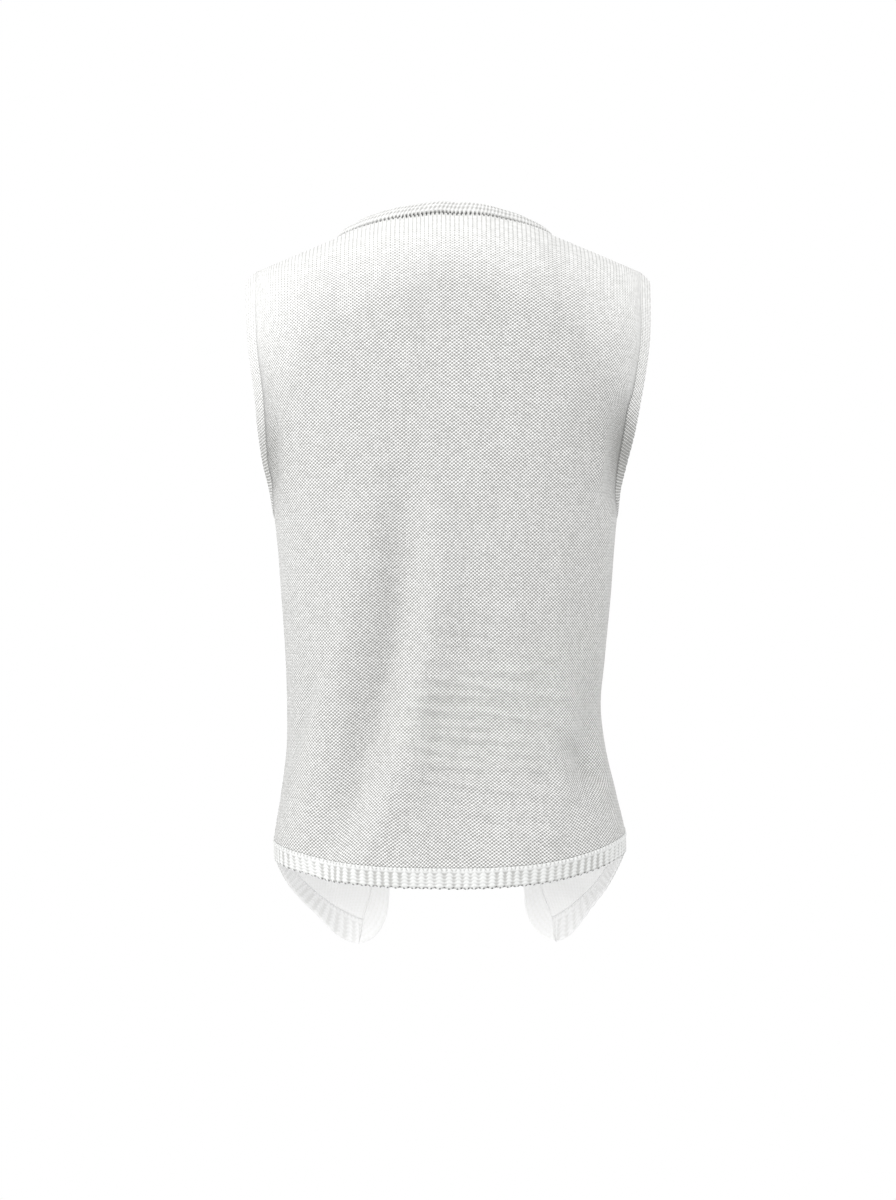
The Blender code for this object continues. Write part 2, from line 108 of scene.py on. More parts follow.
# %% The schematic: sections of the body, and how the opening's free edges hang
SECTION_COLUMNS = ("level", "left_half", "right_half", "back_depth", "front_depth")
SECTIONS = (
    (0.020, 0.1775, 0.1775, 0.0980, 0.1000),
    (-0.030, 0.1775, 0.1775, 0.1000, 0.1060),
    (-0.090, 0.1750, 0.1765, 0.1010, 0.1140),
    (-0.140, 0.1690, 0.1690, 0.1010, 0.1190),
    (-0.170, 0.1660, 0.1632, 0.0990, 0.1200),
    (-0.195, 0.1618, 0.1565, 0.0970, 0.1190),
    (-0.220, 0.1550, 0.1500, 0.0950, 0.1170),
    (-0.242, 0.1514, 0.1474, 0.0930, 0.1150),
    (-0.312, 0.1453, 0.1418, 0.0850, 0.1080),
    (-0.365, 0.1418, 0.1368, 0.0770, 0.1020),
    (-0.404, 0.1406, 0.1335, 0.0730, 0.0990),
    (-0.440, 0.1410, 0.1375, 0.0740, 0.0990),
    (-0.483, 0.1461, 0.1475, 0.0830, 0.1010),
    (-0.522, 0.1518, 0.1555, 0.0930, 0.1040),
    (-0.555, 0.1500, 0.1520, 0.0980, 0.1040),
    (-0.630, 0.1400, 0.1400, 0.1000, 0.1000),
)
OPENING_COLUMNS = ("level", "left_edge", "right_edge")
OPENING = (
    (0.011, 0.0870, 0.0870),
    (-0.040, 0.0840, 0.0850),
    (-0.100, 0.0700, 0.0720),
    (-0.170, 0.0530, 0.0550),
    (-0.240, 0.0430, 0.0470),
    (-0.330, 0.0400, 0.0460),
    (-0.430, 0.0430, 0.0520),
    (-0.520, 0.0495, 0.0620),
    (-0.574, 0.0535, 0.0690),
    (-0.610, 0.0560, 0.0760),
)


def table(columns, rows):
    """Turns rows of numbers into named columns, lowest level first."""
    ordered = sorted(rows)
    return {name: np.array([row[i] for row in ordered]) for i, name in enumerate(columns)}


def smooth(of, column, level):
    """Reads a table's column at any level, as a curve through its rows."""
    at = of["level"]
    value = of[column]
    slope = np.gradient(value, at)
    level = np.clip(level, at[0], at[-1])
    i = np.clip(np.searchsorted(at, level) - 1, 0, len(at) - 2)
    step = at[i + 1] - at[i]
    t = (level - at[i]) / step
    start = (2 * t**3 - 3 * t**2 + 1) * value[i] + (t**3 - 2 * t**2 + t) * step * slope[i]
    end = (3 * t**2 - 2 * t**3) * value[i + 1] + (t**3 - t**2) * step * slope[i + 1]
    return start + end


SECTION = table(SECTION_COLUMNS, SECTIONS)
EDGE = table(OPENING_COLUMNS, OPENING)
print("half width at the waist:", float(smooth(SECTION, "left_half", -0.40)))

# %% [markdown]
# ## The worn form
#
# A worn vest is a soft tube. Across, each section is a squashed oval; upward, it comes over the
# shoulders in a quarter arch. It could be sculpted or simulated over a dummy, but a form in a few
# functions keeps both faces of the cloth, and every band beside it, on exactly the same surface.


# %% The form of the back and the front
LEAST_DEPTH = 0.010
STEEPEST_ARCH = 0.9


def half_width(x_sign, level):
    """Half the body's width at a level, on the side that x_sign points to."""
    left = smooth(SECTION, "left_half", level)
    right = smooth(SECTION, "right_half", level)
    return np.where(np.asarray(x_sign) >= 0, left, right)


def crest(x):
    """Level of the shoulder ridge above any point across."""
    return SHOULDER_PEAK - SHOULDER_SLOPE * np.abs(x)


def rounded_crest(x):
    """The same ridge, rounded over its middle, where there is no ridge but the neck."""
    near = np.minimum(np.abs(x), NECK_MIDDLE_ROUND)
    eased = (near**2 + NECK_MIDDLE_ROUND**2) / (2 * NECK_MIDDLE_ROUND)
    return SHOULDER_PEAK - SHOULDER_SLOPE * np.maximum(np.abs(x), eased)


def neck_half(x):
    """How far out the neck seam ends, on the side of x."""
    return np.where(np.asarray(x) >= 0, NECK_HALF[1], NECK_HALF[-1])


def neck_level(x):
    """Level of the back neck seam above any point across."""
    share = np.abs(x) / neck_half(x)
    return NECK_BACK_LEVEL - (NECK_BACK_LEVEL - crest(neck_half(x))) * share**NECK_CURVE


def bow(share):
    """How full a section is, from 1 in its middle to 0 at its side."""
    return (1 - np.clip(np.abs(share), 0, 1) ** SIDE_FULLNESS) ** SIDE_ROUND


def arch(below, depth):
    """How far the cloth has come over the shoulder: 0 at the ridge, 1 a full arch below it."""
    left = 1 - np.clip(below / depth, 0, 1)
    return np.sqrt(1 - left**2)


def back_form(x, level, x_top):
    """Depth of the back at a point whose column ends at x_top on the neck or shoulder."""
    full = smooth(SECTION, "back_depth", level) * bow(np.abs(x) / half_width(x, level))
    share = np.abs(x_top) / neck_half(x_top)
    reach = (NECK_BACK_DEPTH / np.maximum(full, LEAST_DEPTH)) ** 2 * (1 - share**2)
    above = BACK_ARCH * (1 - np.sqrt(1 - np.clip(reach, -STEEPEST_ARCH, STEEPEST_ARCH)))
    ridge_level = rounded_crest(x_top)
    over_neck = neck_level(x_top) + above - ridge_level
    ease = NECK_POINT_EASE * np.maximum(ridge_level - level, 0)
    over_neck = (over_neck + np.sqrt(over_neck**2 + ease**2)) / 2
    return full * arch(ridge_level + over_neck - level, BACK_ARCH)


def front_form(x, level):
    """Depth of the front at any point of it, negative as the front faces -Y."""
    full = smooth(SECTION, "front_depth", level) * bow(np.abs(x) / half_width(x, level))
    return -full * arch(crest(x) - level, FRONT_ARCH)


print("the back stands out", round(float(back_form(0.0, -0.25, 0.0)) * 1000), "mm at the chest")

# %% [markdown]
# ## Folds and creases
#
# The cloth hangs in a few long soft folds from the chest to the hem, crosses the small of the back in
# slack ripples, and is pinched into short creases under the arms. Each is one row in a table: where it
# starts and ends, its half width, and how far it rises, or sinks where that is negative. A crease's
# ends fade out over a share of its own length. A cloth simulation would place folds where it liked,
# and these have to lie where the real ones do.

# %% Large folds
FOLD_COLUMNS = ("face", "x_top", "level_top", "x_low", "level_low", "bend", "half_width", "rise")
FOLDS = (
    # the long hollow from the middle of the back, outward and down to the hem, and its two shoulders
    ("back", 0.038, -0.235, 0.104, -0.525, 2.2, 0.020, -0.0125),
    ("back", 0.008, -0.250, 0.072, -0.535, 2.2, 0.018, 0.0060),
    ("back", 0.078, -0.270, 0.130, -0.500, 1.5, 0.019, 0.0050),
    # the pinch at the right of the waist, and two slight ones lower down
    ("back", -0.130, -0.385, -0.116, -0.480, 1.0, 0.013, -0.0085),
    ("back", -0.060, -0.330, -0.075, -0.540, 1.0, 0.026, 0.0025),
    ("back", -0.010, -0.400, -0.014, -0.545, 1.0, 0.020, -0.0015),
    # the fronts hang in one soft ridge each, with a hollow beside it
    ("front", 0.100, -0.230, 0.088, -0.520, 1.0, 0.020, 0.0040),
    ("front", 0.125, -0.340, 0.118, -0.520, 1.0, 0.016, -0.0035),
    ("front", -0.104, -0.220, -0.100, -0.520, 1.0, 0.020, 0.0040),
    ("front", -0.122, -0.360, -0.126, -0.520, 1.0, 0.016, -0.0035),
)
print("large folds:", len(FOLDS))

# %% Smaller creases and ripples
CREASE_COLUMNS = ("face", "x_top", "level_top", "x_low", "level_low", "half_width", "rise")
CREASES = (
    # left side and underarm
    ("back", 0.114, -0.385, 0.131, -0.436, 0.0060, -0.0026),
    ("back", 0.106, -0.392, 0.122, -0.446, 0.0080, 0.0012),
    ("back", 0.1490, -0.164, 0.1500, -0.208, 0.0050, -0.0050),
    ("back", 0.1410, -0.166, 0.1400, -0.215, 0.0050, 0.0016),
    # slack ripples across the small of the back
    ("back", -0.004, -0.336, -0.046, -0.341, 0.0044, 0.0009),
    ("back", 0.014, -0.347, -0.030, -0.350, 0.0040, 0.0011),
    ("back", -0.040, -0.353, -0.084, -0.360, 0.0046, 0.0011),
    ("back", 0.018, -0.360, -0.022, -0.366, 0.0040, 0.0014),
    ("back", -0.016, -0.371, -0.062, -0.373, 0.0038, 0.0017),
    ("back", 0.022, -0.376, -0.028, -0.384, 0.0036, 0.0019),
    ("back", -0.044, -0.387, -0.094, -0.395, 0.0044, 0.0020),
    ("back", 0.016, -0.391, -0.036, -0.394, 0.0036, 0.0024),
    ("back", 0.028, -0.402, -0.014, -0.409, 0.0035, 0.0026),
    ("back", -0.024, -0.405, -0.084, -0.416, 0.0040, 0.0024),
    ("back", 0.030, -0.417, -0.026, -0.419, 0.0036, 0.0025),
    ("back", 0.006, -0.426, -0.060, -0.433, 0.0038, 0.0027),
    ("back", -0.050, -0.441, -0.102, -0.448, 0.0044, 0.0022),
    ("back", 0.036, -0.435, -0.018, -0.443, 0.0036, 0.0026),
    ("back", 0.012, -0.452, -0.066, -0.455, 0.0040, 0.0026),
    ("back", 0.046, -0.460, -0.006, -0.467, 0.0040, 0.0025),
    ("back", -0.020, -0.468, -0.098, -0.480, 0.0046, 0.0023),
    ("back", 0.052, -0.476, 0.000, -0.479, 0.0042, 0.0022),
    ("back", 0.030, -0.488, -0.064, -0.494, 0.0048, 0.0022),
    ("back", 0.064, -0.498, 0.014, -0.506, 0.0050, 0.0017),
    ("back", -0.010, -0.507, -0.080, -0.511, 0.0056, 0.0014),
    # right side and underarm
    ("back", -0.1500, -0.150, -0.1450, -0.218, 0.0110, -0.0070),
    ("back", -0.1330, -0.176, -0.1300, -0.205, 0.0050, 0.0022),
    ("back", -0.112, -0.290, -0.122, -0.430, 0.0150, -0.0026),
    ("back", -0.098, -0.412, -0.131, -0.446, 0.0070, 0.0018),
    ("back", -0.104, -0.440, -0.134, -0.462, 0.0100, -0.0050),
    ("back", -0.100, -0.470, -0.126, -0.500, 0.0080, 0.0016),
    # the fronts, creased as the back is
    ("front", 0.060, -0.400, 0.118, -0.425, 0.0070, 0.0009),
    ("front", 0.056, -0.432, 0.104, -0.452, 0.0070, 0.0008),
    ("front", 0.070, -0.470, 0.124, -0.482, 0.0080, 0.0009),
    ("front", 0.138, -0.176, 0.144, -0.214, 0.0060, -0.0022),
    ("front", 0.084, -0.250, 0.070, -0.330, 0.0120, -0.0012),
    ("front", -0.066, -0.392, -0.120, -0.418, 0.0070, 0.0009),
    ("front", -0.064, -0.446, -0.112, -0.462, 0.0075, 0.0009),
    ("front", -0.138, -0.170, -0.143, -0.212, 0.0060, -0.0022),
    ("front", -0.080, -0.240, -0.074, -0.330, 0.0120, -0.0012),
)
FOLD_FADE, CREASE_FADE = 12, 0.22
FOLD_SIDE_FADE, CREASE_SIDE_FADE = 8, 24


def side_fade(x, level, sharpness):
    """1 over most of the cloth, easing to 0 at the side seams."""
    return 1 - np.clip(np.abs(x) / half_width(x, level), 0, 1) ** sharpness


def folds_here(face, x, level):
    """How far the large folds lift the cloth, fading out at the side seams."""
    total = np.zeros(np.broadcast(x, level).shape)
    for row in FOLDS:
        fold = dict(zip(FOLD_COLUMNS, row))
        if fold["face"] != face:
            continue
        along = (level - fold["level_top"]) / (fold["level_low"] - fold["level_top"])
        run = np.clip(along, 0, None) ** fold["bend"]
        middle = fold["x_top"] + (fold["x_low"] - fold["x_top"]) * run
        across = (x - middle) / fold["half_width"]
        ends = 1 / (1 + np.exp(-FOLD_FADE * along)) / (1 + np.exp(FOLD_FADE * (along - 1)))
        total = total + fold["rise"] * np.exp(-(across**2)) * ends
    return total * side_fade(x, level, FOLD_SIDE_FADE)


def creases_here(face, x, level):
    """How far the small creases lift the cloth. Each runs straight and fades out at its ends."""
    total = np.zeros(np.broadcast(x, level).shape)
    for row in CREASES:
        crease = dict(zip(CREASE_COLUMNS, row))
        if crease["face"] != face:
            continue
        run_x = crease["x_low"] - crease["x_top"]
        run_level = crease["level_low"] - crease["level_top"]
        length = math.hypot(run_x, run_level)
        from_x = x - crease["x_top"]
        from_level = level - crease["level_top"]
        along = (from_x * run_x + from_level * run_level) / length**2
        across = (from_x * run_level - from_level * run_x) / length / crease["half_width"]
        past = np.maximum(np.maximum(-along, along - 1), 0) / CREASE_FADE
        total = total + crease["rise"] * np.exp(-(across**2) - past**2)
    return total * side_fade(x, level, CREASE_SIDE_FADE)


waist_lift = float(creases_here("back", 0.0, -0.42))
print("creases:", len(CREASES), "lifting the waist by", round(waist_lift * 1000, 1), "mm")


# %% [markdown]
# A knit never lies perfectly even. Under the folds there is a slight unevenness a few centimetres
# across, less than half a millimetre high, which a stack of faint waves in fixed random directions
# gives. The seed is fixed, so the cloth comes out the same each time.

# %% The slight unevenness of slack cloth
WAVE_COUNT = 26
WAVE_SHORTEST, WAVE_LONGEST = 0.022, 0.085
WAVE_RISE = 0.00013
WAVE_SEED = 7
FRONT_WAVE_START = 1.7
waves = np.random.default_rng(WAVE_SEED)
wave_turn = waves.uniform(0, math.tau, WAVE_COUNT)
wave_length = waves.uniform(WAVE_SHORTEST, WAVE_LONGEST, WAVE_COUNT)
wave_start = waves.uniform(0, math.tau, WAVE_COUNT)


def unevenness(face, x, level):
    """Faint random waves, other ones on the front than on the back."""
    total = np.zeros(np.broadcast(x, level).shape)
    offset = 0 if face == "back" else FRONT_WAVE_START
    for turn, length, start in zip(wave_turn, wave_length, wave_start):
        run = x * math.cos(turn) + level * math.sin(turn)
        total = total + WAVE_RISE * np.sin(math.tau * run / length + start + offset)
    return total * side_fade(x, level, FOLD_SIDE_FADE)


RIDGE_CALM = 0.015


def lie(face, x, level):
    """All that lifts the cloth off its smooth form, calming down towards the shoulder seams."""
    calm = np.clip((crest(x) - level) / RIDGE_CALM, 0, 1)
    lifted = folds_here(face, x, level) + creases_here(face, x, level) + unevenness(face, x, level)
    return lifted * calm


print("the cloth lifts by", round(float(lie("back", 0.035, -0.36)) * 1000, 1), "mm on its longest fold")

# %% [markdown]
# ## Sheets of cloth as grids
#
# A piece of knitting is a grid already: wales run up it and courses run across. So each panel is a
# grid of points whose columns follow the wales. On the real back the wales spread towards the
# shoulders, and the grid's columns spread the same way. A finer grid is asked for where a fine edge
# is needed, such as for the ribs of the hem.


# %% Where the rows and columns of the cloth run
# points nearer to each other than this, in metres, are one point
HAIR = 1e-6


def armhole_row(turn, side):
    """The armhole seam where it has turned this far from the side seam (0) to the shoulder (pi)."""
    share = (1 - np.cos(turn)) / 2
    level = ARMHOLE_SEAM_LEVEL + (crest(SHOULDER_END) - ARMHOLE_SEAM_LEVEL) * share
    wide = half_width(side, level)
    sunk = (ARMHOLE_DEPTH_SHARE * math.sin(min(turn, math.pi / 2))) ** (1 / SIDE_ROUND)
    low_x = wide * (1 - sunk) ** (1 / SIDE_FULLNESS)
    over = max(0, -math.cos(turn))
    return low_x + (SHOULDER_END - low_x) * over**2, share


def column_shares(side, count_in, count_out, crowded):
    """Where the columns stand across a half back, low down and along the neck and shoulder. Crowded
    columns stand closer towards the ends of the neck seam, where it turns sharply."""
    point = NECK_HALF[side] / SHOULDER_END
    turn = math.asin(point)
    outer = np.sin(np.linspace(turn, math.pi / 2, count_out + 1))[1:]
    low = np.sin(np.linspace(0, turn, count_in + 1))
    top = point * np.sin(np.linspace(0, math.pi / 2, count_in + 1)) if crowded else low
    return np.concatenate([low, outer]), np.concatenate([top, outer])


print("the back narrows at the armholes to", round(2 * float(armhole_row(math.pi / 2, 1)[0]), 3), "m")

# %% The back's grid
# the hem rises late, near its sides, and the wales spread late, near the shoulders
HEM_SWEEP = 3
WALE_SPREAD = 2


def back_grid(columns_in, columns_out, low_rows, armhole_rows, crowded=False):
    """Rows from the hem band's seam up to the neck and shoulders, columns from -X to +X."""
    left, left_top = column_shares(1, columns_in, columns_out, crowded)
    right, right_top = column_shares(-1, columns_in, columns_out, crowded)
    low_share = np.concatenate([-right[:0:-1], left])
    top_share = np.concatenate([-right_top[:0:-1], left_top])
    x_top = top_share * SHOULDER_END
    sides = np.where(low_share >= 0, HEM_SIDE[1], HEM_SIDE[-1])
    low = HEM_BACK + (sides - HEM_BACK) * np.abs(low_share) ** HEM_SWEEP + HEM_BAND
    rows = []
    for up in np.arange(low_rows) / low_rows:
        level = low + (ARMHOLE_SEAM_LEVEL - low) * up
        x = low_share * half_width(low_share, level)
        rows.append(np.stack([x, back_form(x, level, x_top), level], axis=-1))
    in_neck = np.abs(x_top) < neck_half(x_top) - HAIR
    top = np.where(in_neck, neck_level(x_top), crest(x_top))
    for turn in np.linspace(0, math.pi, armhole_rows + 1):
        x_left, up = armhole_row(turn, 1)
        x_right, _ = armhole_row(turn, -1)
        share = low_share + (top_share - low_share) * up**WALE_SPREAD
        x = share * np.where(share >= 0, x_left, x_right)
        level = ARMHOLE_SEAM_LEVEL + (top - ARMHOLE_SEAM_LEVEL) * up
        rows.append(np.stack([x, back_form(x, level, x_top), level], axis=-1))
    return np.array(rows)


# %% The fronts' grids
# how late the front band narrows, and how late the front turns in to the neck and over the ridge
BAND_NARROWING = 1.5
NECK_TURN, RIDGE_TURN = 4, 40
LEAN_STEP = 0.004


def front_band_width(level):
    """The front band is drawn in a little where it comes over the shoulder."""
    near = np.clip((level + BAND_NARROWS) / BAND_NARROWS, 0, 1)
    return FRONT_BAND + (NECK_BAND * NECK_BAND_REACH - FRONT_BAND) * near**BAND_NARROWING


def opening_edge(side, level):
    """How far out the front band's free edge hangs, and how much it leans there."""
    column = "left_edge" if side > 0 else "right_edge"
    higher = smooth(EDGE, column, level + LEAN_STEP)
    lower = smooth(EDGE, column, level - LEAN_STEP)
    return smooth(EDGE, column, level), np.arctan((higher - lower) / (2 * LEAN_STEP))


def opening_seam(side, level):
    """How far out the seam between front and front band runs."""
    free, lean = opening_edge(side, level)
    seam = free + front_band_width(level) / np.cos(lean)
    corner = POINT_LEVEL[side] + POINT_MITRE
    near = np.clip((level - corner) / POINT_FAN, 0, 1)
    corner_x = POINT_ACROSS[side] - POINT_SHIFT
    return corner_x + (seam - corner_x) * np.sin(near * math.pi / 2)


def front_grid(side, columns, low_rows, armhole_rows):
    """Rows from the hem band's seam up to the shoulder seam, columns from the opening to the side."""
    corner = POINT_LEVEL[side] + POINT_MITRE
    side_low = HEM_SIDE[side] + HEM_BAND * HEM_LEAN
    along = np.linspace(0, 1, columns + 1)
    low = corner + (side_low - corner) * along - HEM_SAG * along * (1 - along) ** 2
    rows = []
    for up in np.arange(low_rows) / low_rows:
        level = low + (ARMHOLE_SEAM_LEVEL - low) * up
        wide = half_width(side, level)
        start = np.arcsin(opening_seam(side, level[0]) / wide[0])
        x = side * wide * np.sin(start + (math.pi / 2 - start) * along)
        rows.append(np.stack([x, front_form(x, level), level], axis=-1))
    first = math.asin(NECK_HALF[side] / SHOULDER_END)
    x_top = SHOULDER_END * np.sin(first + (math.pi / 2 - first) * along)
    ridge = crest(NECK_HALF[side])
    short = NECK_HALF[side] - opening_seam(side, ridge)
    for turn in np.linspace(0, math.pi, armhole_rows + 1):
        x_edge, up = armhole_row(turn, side)
        inner_level = ARMHOLE_SEAM_LEVEL + (ridge - ARMHOLE_SEAM_LEVEL) * up
        start = np.arcsin((opening_seam(side, inner_level) + short * up**NECK_TURN) / x_edge)
        x = side * x_edge * np.sin(start + (math.pi / 2 - start) * along)
        level = ARMHOLE_SEAM_LEVEL + (crest(x_top) - ARMHOLE_SEAM_LEVEL) * up
        y = -np.abs(front_form(x, level)) * (1 - up**RIDGE_TURN)
        rows.append(np.stack([x, y, level], axis=-1))
    return np.array(rows)


# %% Laying the folds on a grid
# the shoulder seam starts this near to the neck's end, in metres
TOUCH = 1e-4
TINY = 1e-12


def unit(vectors):
    """The same directions, each with a length of 1."""
    return vectors / np.maximum(np.linalg.norm(vectors, axis=-1, keepdims=True), TINY)


def outward(grid):
    """Unit normals of a grid, on the side away from the body's middle."""
    n = unit(np.cross(np.gradient(grid, axis=1), np.gradient(grid, axis=0)))
    return n if np.sum(n * (grid - BODY_MIDDLE)) > 0 else -n


def without_y(n):
    """Normals turned into the plane where the back and the fronts meet."""
    flat = n.copy()
    flat[..., 1] = 0
    return unit(flat)


def laid(grid, face, low_rows):
    """The grid with its folds, its side and shoulder edges brought to the seams, and its normals."""
    n = outward(grid)
    grid = grid + n * lie(face, grid[..., 0], grid[..., 2])[..., None]
    n = outward(grid)
    half_gap = SEAM_GAP / 2 if face == "back" else -SEAM_GAP / 2
    low = slice(0, low_rows + 1)
    for column in (0, -1) if face == "back" else (-1,):
        n[low, column] = without_y(n[low, column])
        grid[low, column, 1] = half_gap
    top = grid[-1, :, 0]
    shoulder = np.abs(top) >= (neck_half(top) - TOUCH if face == "back" else 0)
    n[-1, shoulder] = without_y(n[-1, shoulder])
    grid[-1, shoulder, 1] = half_gap
    return grid, n


# %% [markdown]
# ## From a grid to a closed shell
#
# Cloth has two faces and a thickness, so each shell is an outer grid, an inner grid and a narrow rim
# that closes them. The UV map counts stitches: one unit across is one wale, one unit up is one course.
# A material that reads it draws each loop where the knitting machine would put it, and at its real
# size, wherever the cloth bends. Two more numbers go with each point. One is its distance from the
# nearest linked seam or open edge, where the material draws a row of little holes, dark with painted
# shade. The other says how the stitches lie: up to 1 where the cloth hangs stretched and its loops
# close up into upright lines, and below 0 under the arms, where painted shade darkens the pits.

# %% The shell builder
WALE = 0.0034
COURSE = 0.0029
MILLIMETRES, SQUARE_CENTIMETRES = 1000, 10000
FAR_FROM_SEAM = 99.0


def counted(grid, axis, size, start=0):
    """Stitches from a starting row or column, by the cloth's own length along that axis."""
    steps = np.linalg.norm(np.diff(grid, axis=axis), axis=-1)
    pad = [(1, 0) if i == axis else (0, 0) for i in range(2)]
    total = np.cumsum(np.pad(steps, pad), axis=axis)
    return (total - np.take(total, [start], axis=axis)) / size


def closed_faces(rows, columns, looped):
    """Four-sided faces of an outer grid, then as many of an inner grid, then the rim between them. The
    inner grid's points come after the outer's. A loop has no rim at its first and last row."""
    count = rows * columns

    def rim(start, step):
        """Faces that join the two grids along a row or column of points."""
        return np.stack([start, start + step, start + step + count, start + count], axis=-1)

    r, c = np.meshgrid(np.arange(rows - 1), np.arange(columns - 1), indexing="ij")
    a = (r * columns + c).ravel()
    front = np.stack([a, a + 1, a + columns + 1, a + columns], axis=-1)
    parts = [front, front[:, ::-1] + count]
    start = np.arange(rows - 1) * columns
    parts += [rim(start, columns), rim(start + 2 * columns - 1, -columns)]
    if not looped:
        start = np.arange(columns - 1)
        parts += [rim(start + 1, -1), rim(start + (rows - 1) * columns, 1)]
    return np.concatenate(parts)


def inside_out(points, faces):
    """Whether closed faces point inwards, which makes the volume that they measure negative."""
    corner = points[faces]
    return sum(np.sum(corner[:, 0] * np.cross(corner[:, i], corner[:, i + 1])) for i in (1, 2)) < 0


def shell(name, outer, inner, across, up, from_seam=None, pull_and_shade=None, looped=False):
    """A closed shell between two grids, with its stitch counts, its distance in millimetres from a
    linked seam, and how far its stitches are pulled, or below 0 how much shade is painted on them."""
    if looped:
        grids = (outer, inner, across, up, pull_and_shade)
        outer, inner, across, up, pull_and_shade = (np.concatenate([g, g[:1]]) for g in grids)
    rows, columns = outer.shape[:2]
    count = rows * columns
    face_count = (rows - 1) * (columns - 1)
    points = np.concatenate([outer.reshape(-1, 3), inner.reshape(-1, 3)])
    faces = closed_faces(rows, columns, looped)
    if inside_out(points, faces):
        faces = faces[:, ::-1]
    mesh = bpy.data.meshes.new(name)
    mesh.from_pydata(points.tolist(), [], faces.tolist())
    corner_point = np.zeros(len(mesh.loops), int)
    mesh.loops.foreach_get("vertex_index", corner_point)
    stitch = np.stack([across.ravel(), up.ravel()], axis=-1)
    stitch = np.concatenate([stitch, stitch])
    uv = mesh.uv_layers.new(name="stitches")
    uv.data.foreach_set("uv", stitch[corner_point].ravel())
    for title, values, usual in (("from_seam", from_seam, FAR_FROM_SEAM), ("pull_and_shade", pull_and_shade, 0.0)):
        values = np.full(count, usual) if values is None else values.ravel()
        given = mesh.attributes.new(title, "FLOAT", "POINT")
        given.data.foreach_set("value", np.concatenate([values, values]))
    inside = np.zeros(len(faces), int)
    inside[face_count : 2 * face_count] = 1
    mesh.polygons.foreach_set("material_index", inside)
    mesh.polygons.foreach_set("use_smooth", np.arange(len(faces)) < 2 * face_count)
    piece = bpy.data.objects.new(name, mesh)
    bpy.context.scene.collection.objects.link(piece)
    if looped:
        bpy.ops.object.select_all(action="DESELECT")
        bpy.context.view_layer.objects.active = piece
        bpy.ops.object.mode_set(mode="EDIT")
        bpy.ops.mesh.select_all(action="SELECT")
        bpy.ops.mesh.remove_doubles(threshold=HAIR)
        bpy.ops.object.mode_set(mode="OBJECT")
    mesh.update()
    area = sum(p.area for p in mesh.polygons if p.material_index == 0)
    print(name, "faces:", len(mesh.polygons), "area:", round(area * SQUARE_CENTIMETRES), "square cm")
    return piece


pieces = {}

# %% [markdown]
# ## The back
#
# The back is one knitted panel, from the hem band's seam up to the neck and the shoulder seams. Its
# stitches are far too many to model one by one, so the shell carries the folds and creases and the
# material draws the loops.

# %% Where its stitches are pulled, and where shade is painted under the arms
PULL_FROM = 0.015
PULL_TO_MIDDLE, PULL_TO_TIP = 0.080, 0.180
PULL_WIDENING, PULL_FALL = 1.5, 1.2

UNDERARM_SHADE_COLUMNS = ("x", "level", "half_width", "half_height", "strength")
UNDERARM_SHADES = (
    # painted shade under the wearer's right arm, then under the left
    (-0.1540, -0.184, 0.0150, 0.030, 1.30),
    (-0.1300, -0.168, 0.0220, 0.030, 0.20),
    (0.1560, -0.190, 0.0140, 0.032, 0.80),
    (0.1560, -0.130, 0.0120, 0.040, 0.20),
)


def underarm_shade(x, level):
    """How much shade is painted under the arms, from 0 up."""
    total = np.zeros(np.broadcast(x, level).shape)
    for row in UNDERARM_SHADES:
        shade_patch = dict(zip(UNDERARM_SHADE_COLUMNS, row))
        across = (x - shade_patch["x"]) / shade_patch["half_width"]
        along = (level - shade_patch["level"]) / shade_patch["half_height"]
        total = total + shade_patch["strength"] * np.exp(-(across**2) - along**2)
    return total


def pulled(below, outward_share):
    """How far the knit is pulled lengthwise, from its distance below the neck or shoulder seam."""
    reach = PULL_TO_MIDDLE + (PULL_TO_TIP - PULL_TO_MIDDLE) * outward_share**PULL_WIDENING
    return 1 - np.clip((below - PULL_FROM) / (reach - PULL_FROM), 0, 1) ** PULL_FALL


# %% Where the holes along the neck seam show, dark with painted shade
SEAM_HOLES_MIDDLE, SEAM_HOLES_REACH = 0.010, 0.055
SEAM_HOLES_FULL, SEAM_HOLES_LAST = 0.4, 1.2
SEAM_HOLES_FADE = 0.9
SEAM_HOLE_SHORT = 0.45
NECK_ENDS = 0.99


def holes_fade(x):
    """Millimetres to add to the distance from the neck seam, so that the painted shade of its holes fades
    to the sides.
    """
    out = np.abs(x - SEAM_HOLES_MIDDLE) / SEAM_HOLES_REACH
    return SEAM_HOLES_FADE * np.clip(out - SEAM_HOLES_FULL, 0, SEAM_HOLES_LAST)


print("the holes fade by", round(float(holes_fade(NECK_HALF[1])), 2), "mm at the neck's left end")

# %% Knit the back panel
BACK_COLUMNS_IN, BACK_COLUMNS_OUT = 44, 36
LOW_ROWS, ARMHOLE_ROWS = 190, 90

rough = back_grid(BACK_COLUMNS_IN, BACK_COLUMNS_OUT, LOW_ROWS, ARMHOLE_ROWS)
grid, normal = laid(rough, "back", LOW_ROWS)
wales = counted(grid, 1, WALE, BACK_COLUMNS_IN + BACK_COLUMNS_OUT)[LOW_ROWS]
across = np.broadcast_to(wales, grid.shape[:2])
up = counted(grid, 0, COURSE, LOW_ROWS)
to_top = (up[-1] - up) * COURSE
x_seam = grid[-1, :, 0]
# how far the stitches are pulled, less the shade painted under the arms
pull_and_shade = pulled(to_top, np.abs(x_seam) / SHOULDER_END) - underarm_shade(grid[..., 0], grid[..., 2])
in_neck = np.abs(x_seam) < NECK_ENDS * neck_half(x_seam)
fade = np.where(in_neck, holes_fade(x_seam), FAR_FROM_SEAM)
from_seam = to_top * MILLIMETRES * SEAM_HOLE_SHORT + fade
back_cloth = shell("back_panel_cloth", grid, grid - normal * PANEL_WALL, across, up, from_seam, pull_and_shade)
pieces["back_panel"] = back_cloth
edge_wale = {1: float(wales[-1]), -1: float(-wales[0])}
print("the back counts", round(float(np.ptp(wales))), "wales and", round(float(np.ptp(up))), "courses")

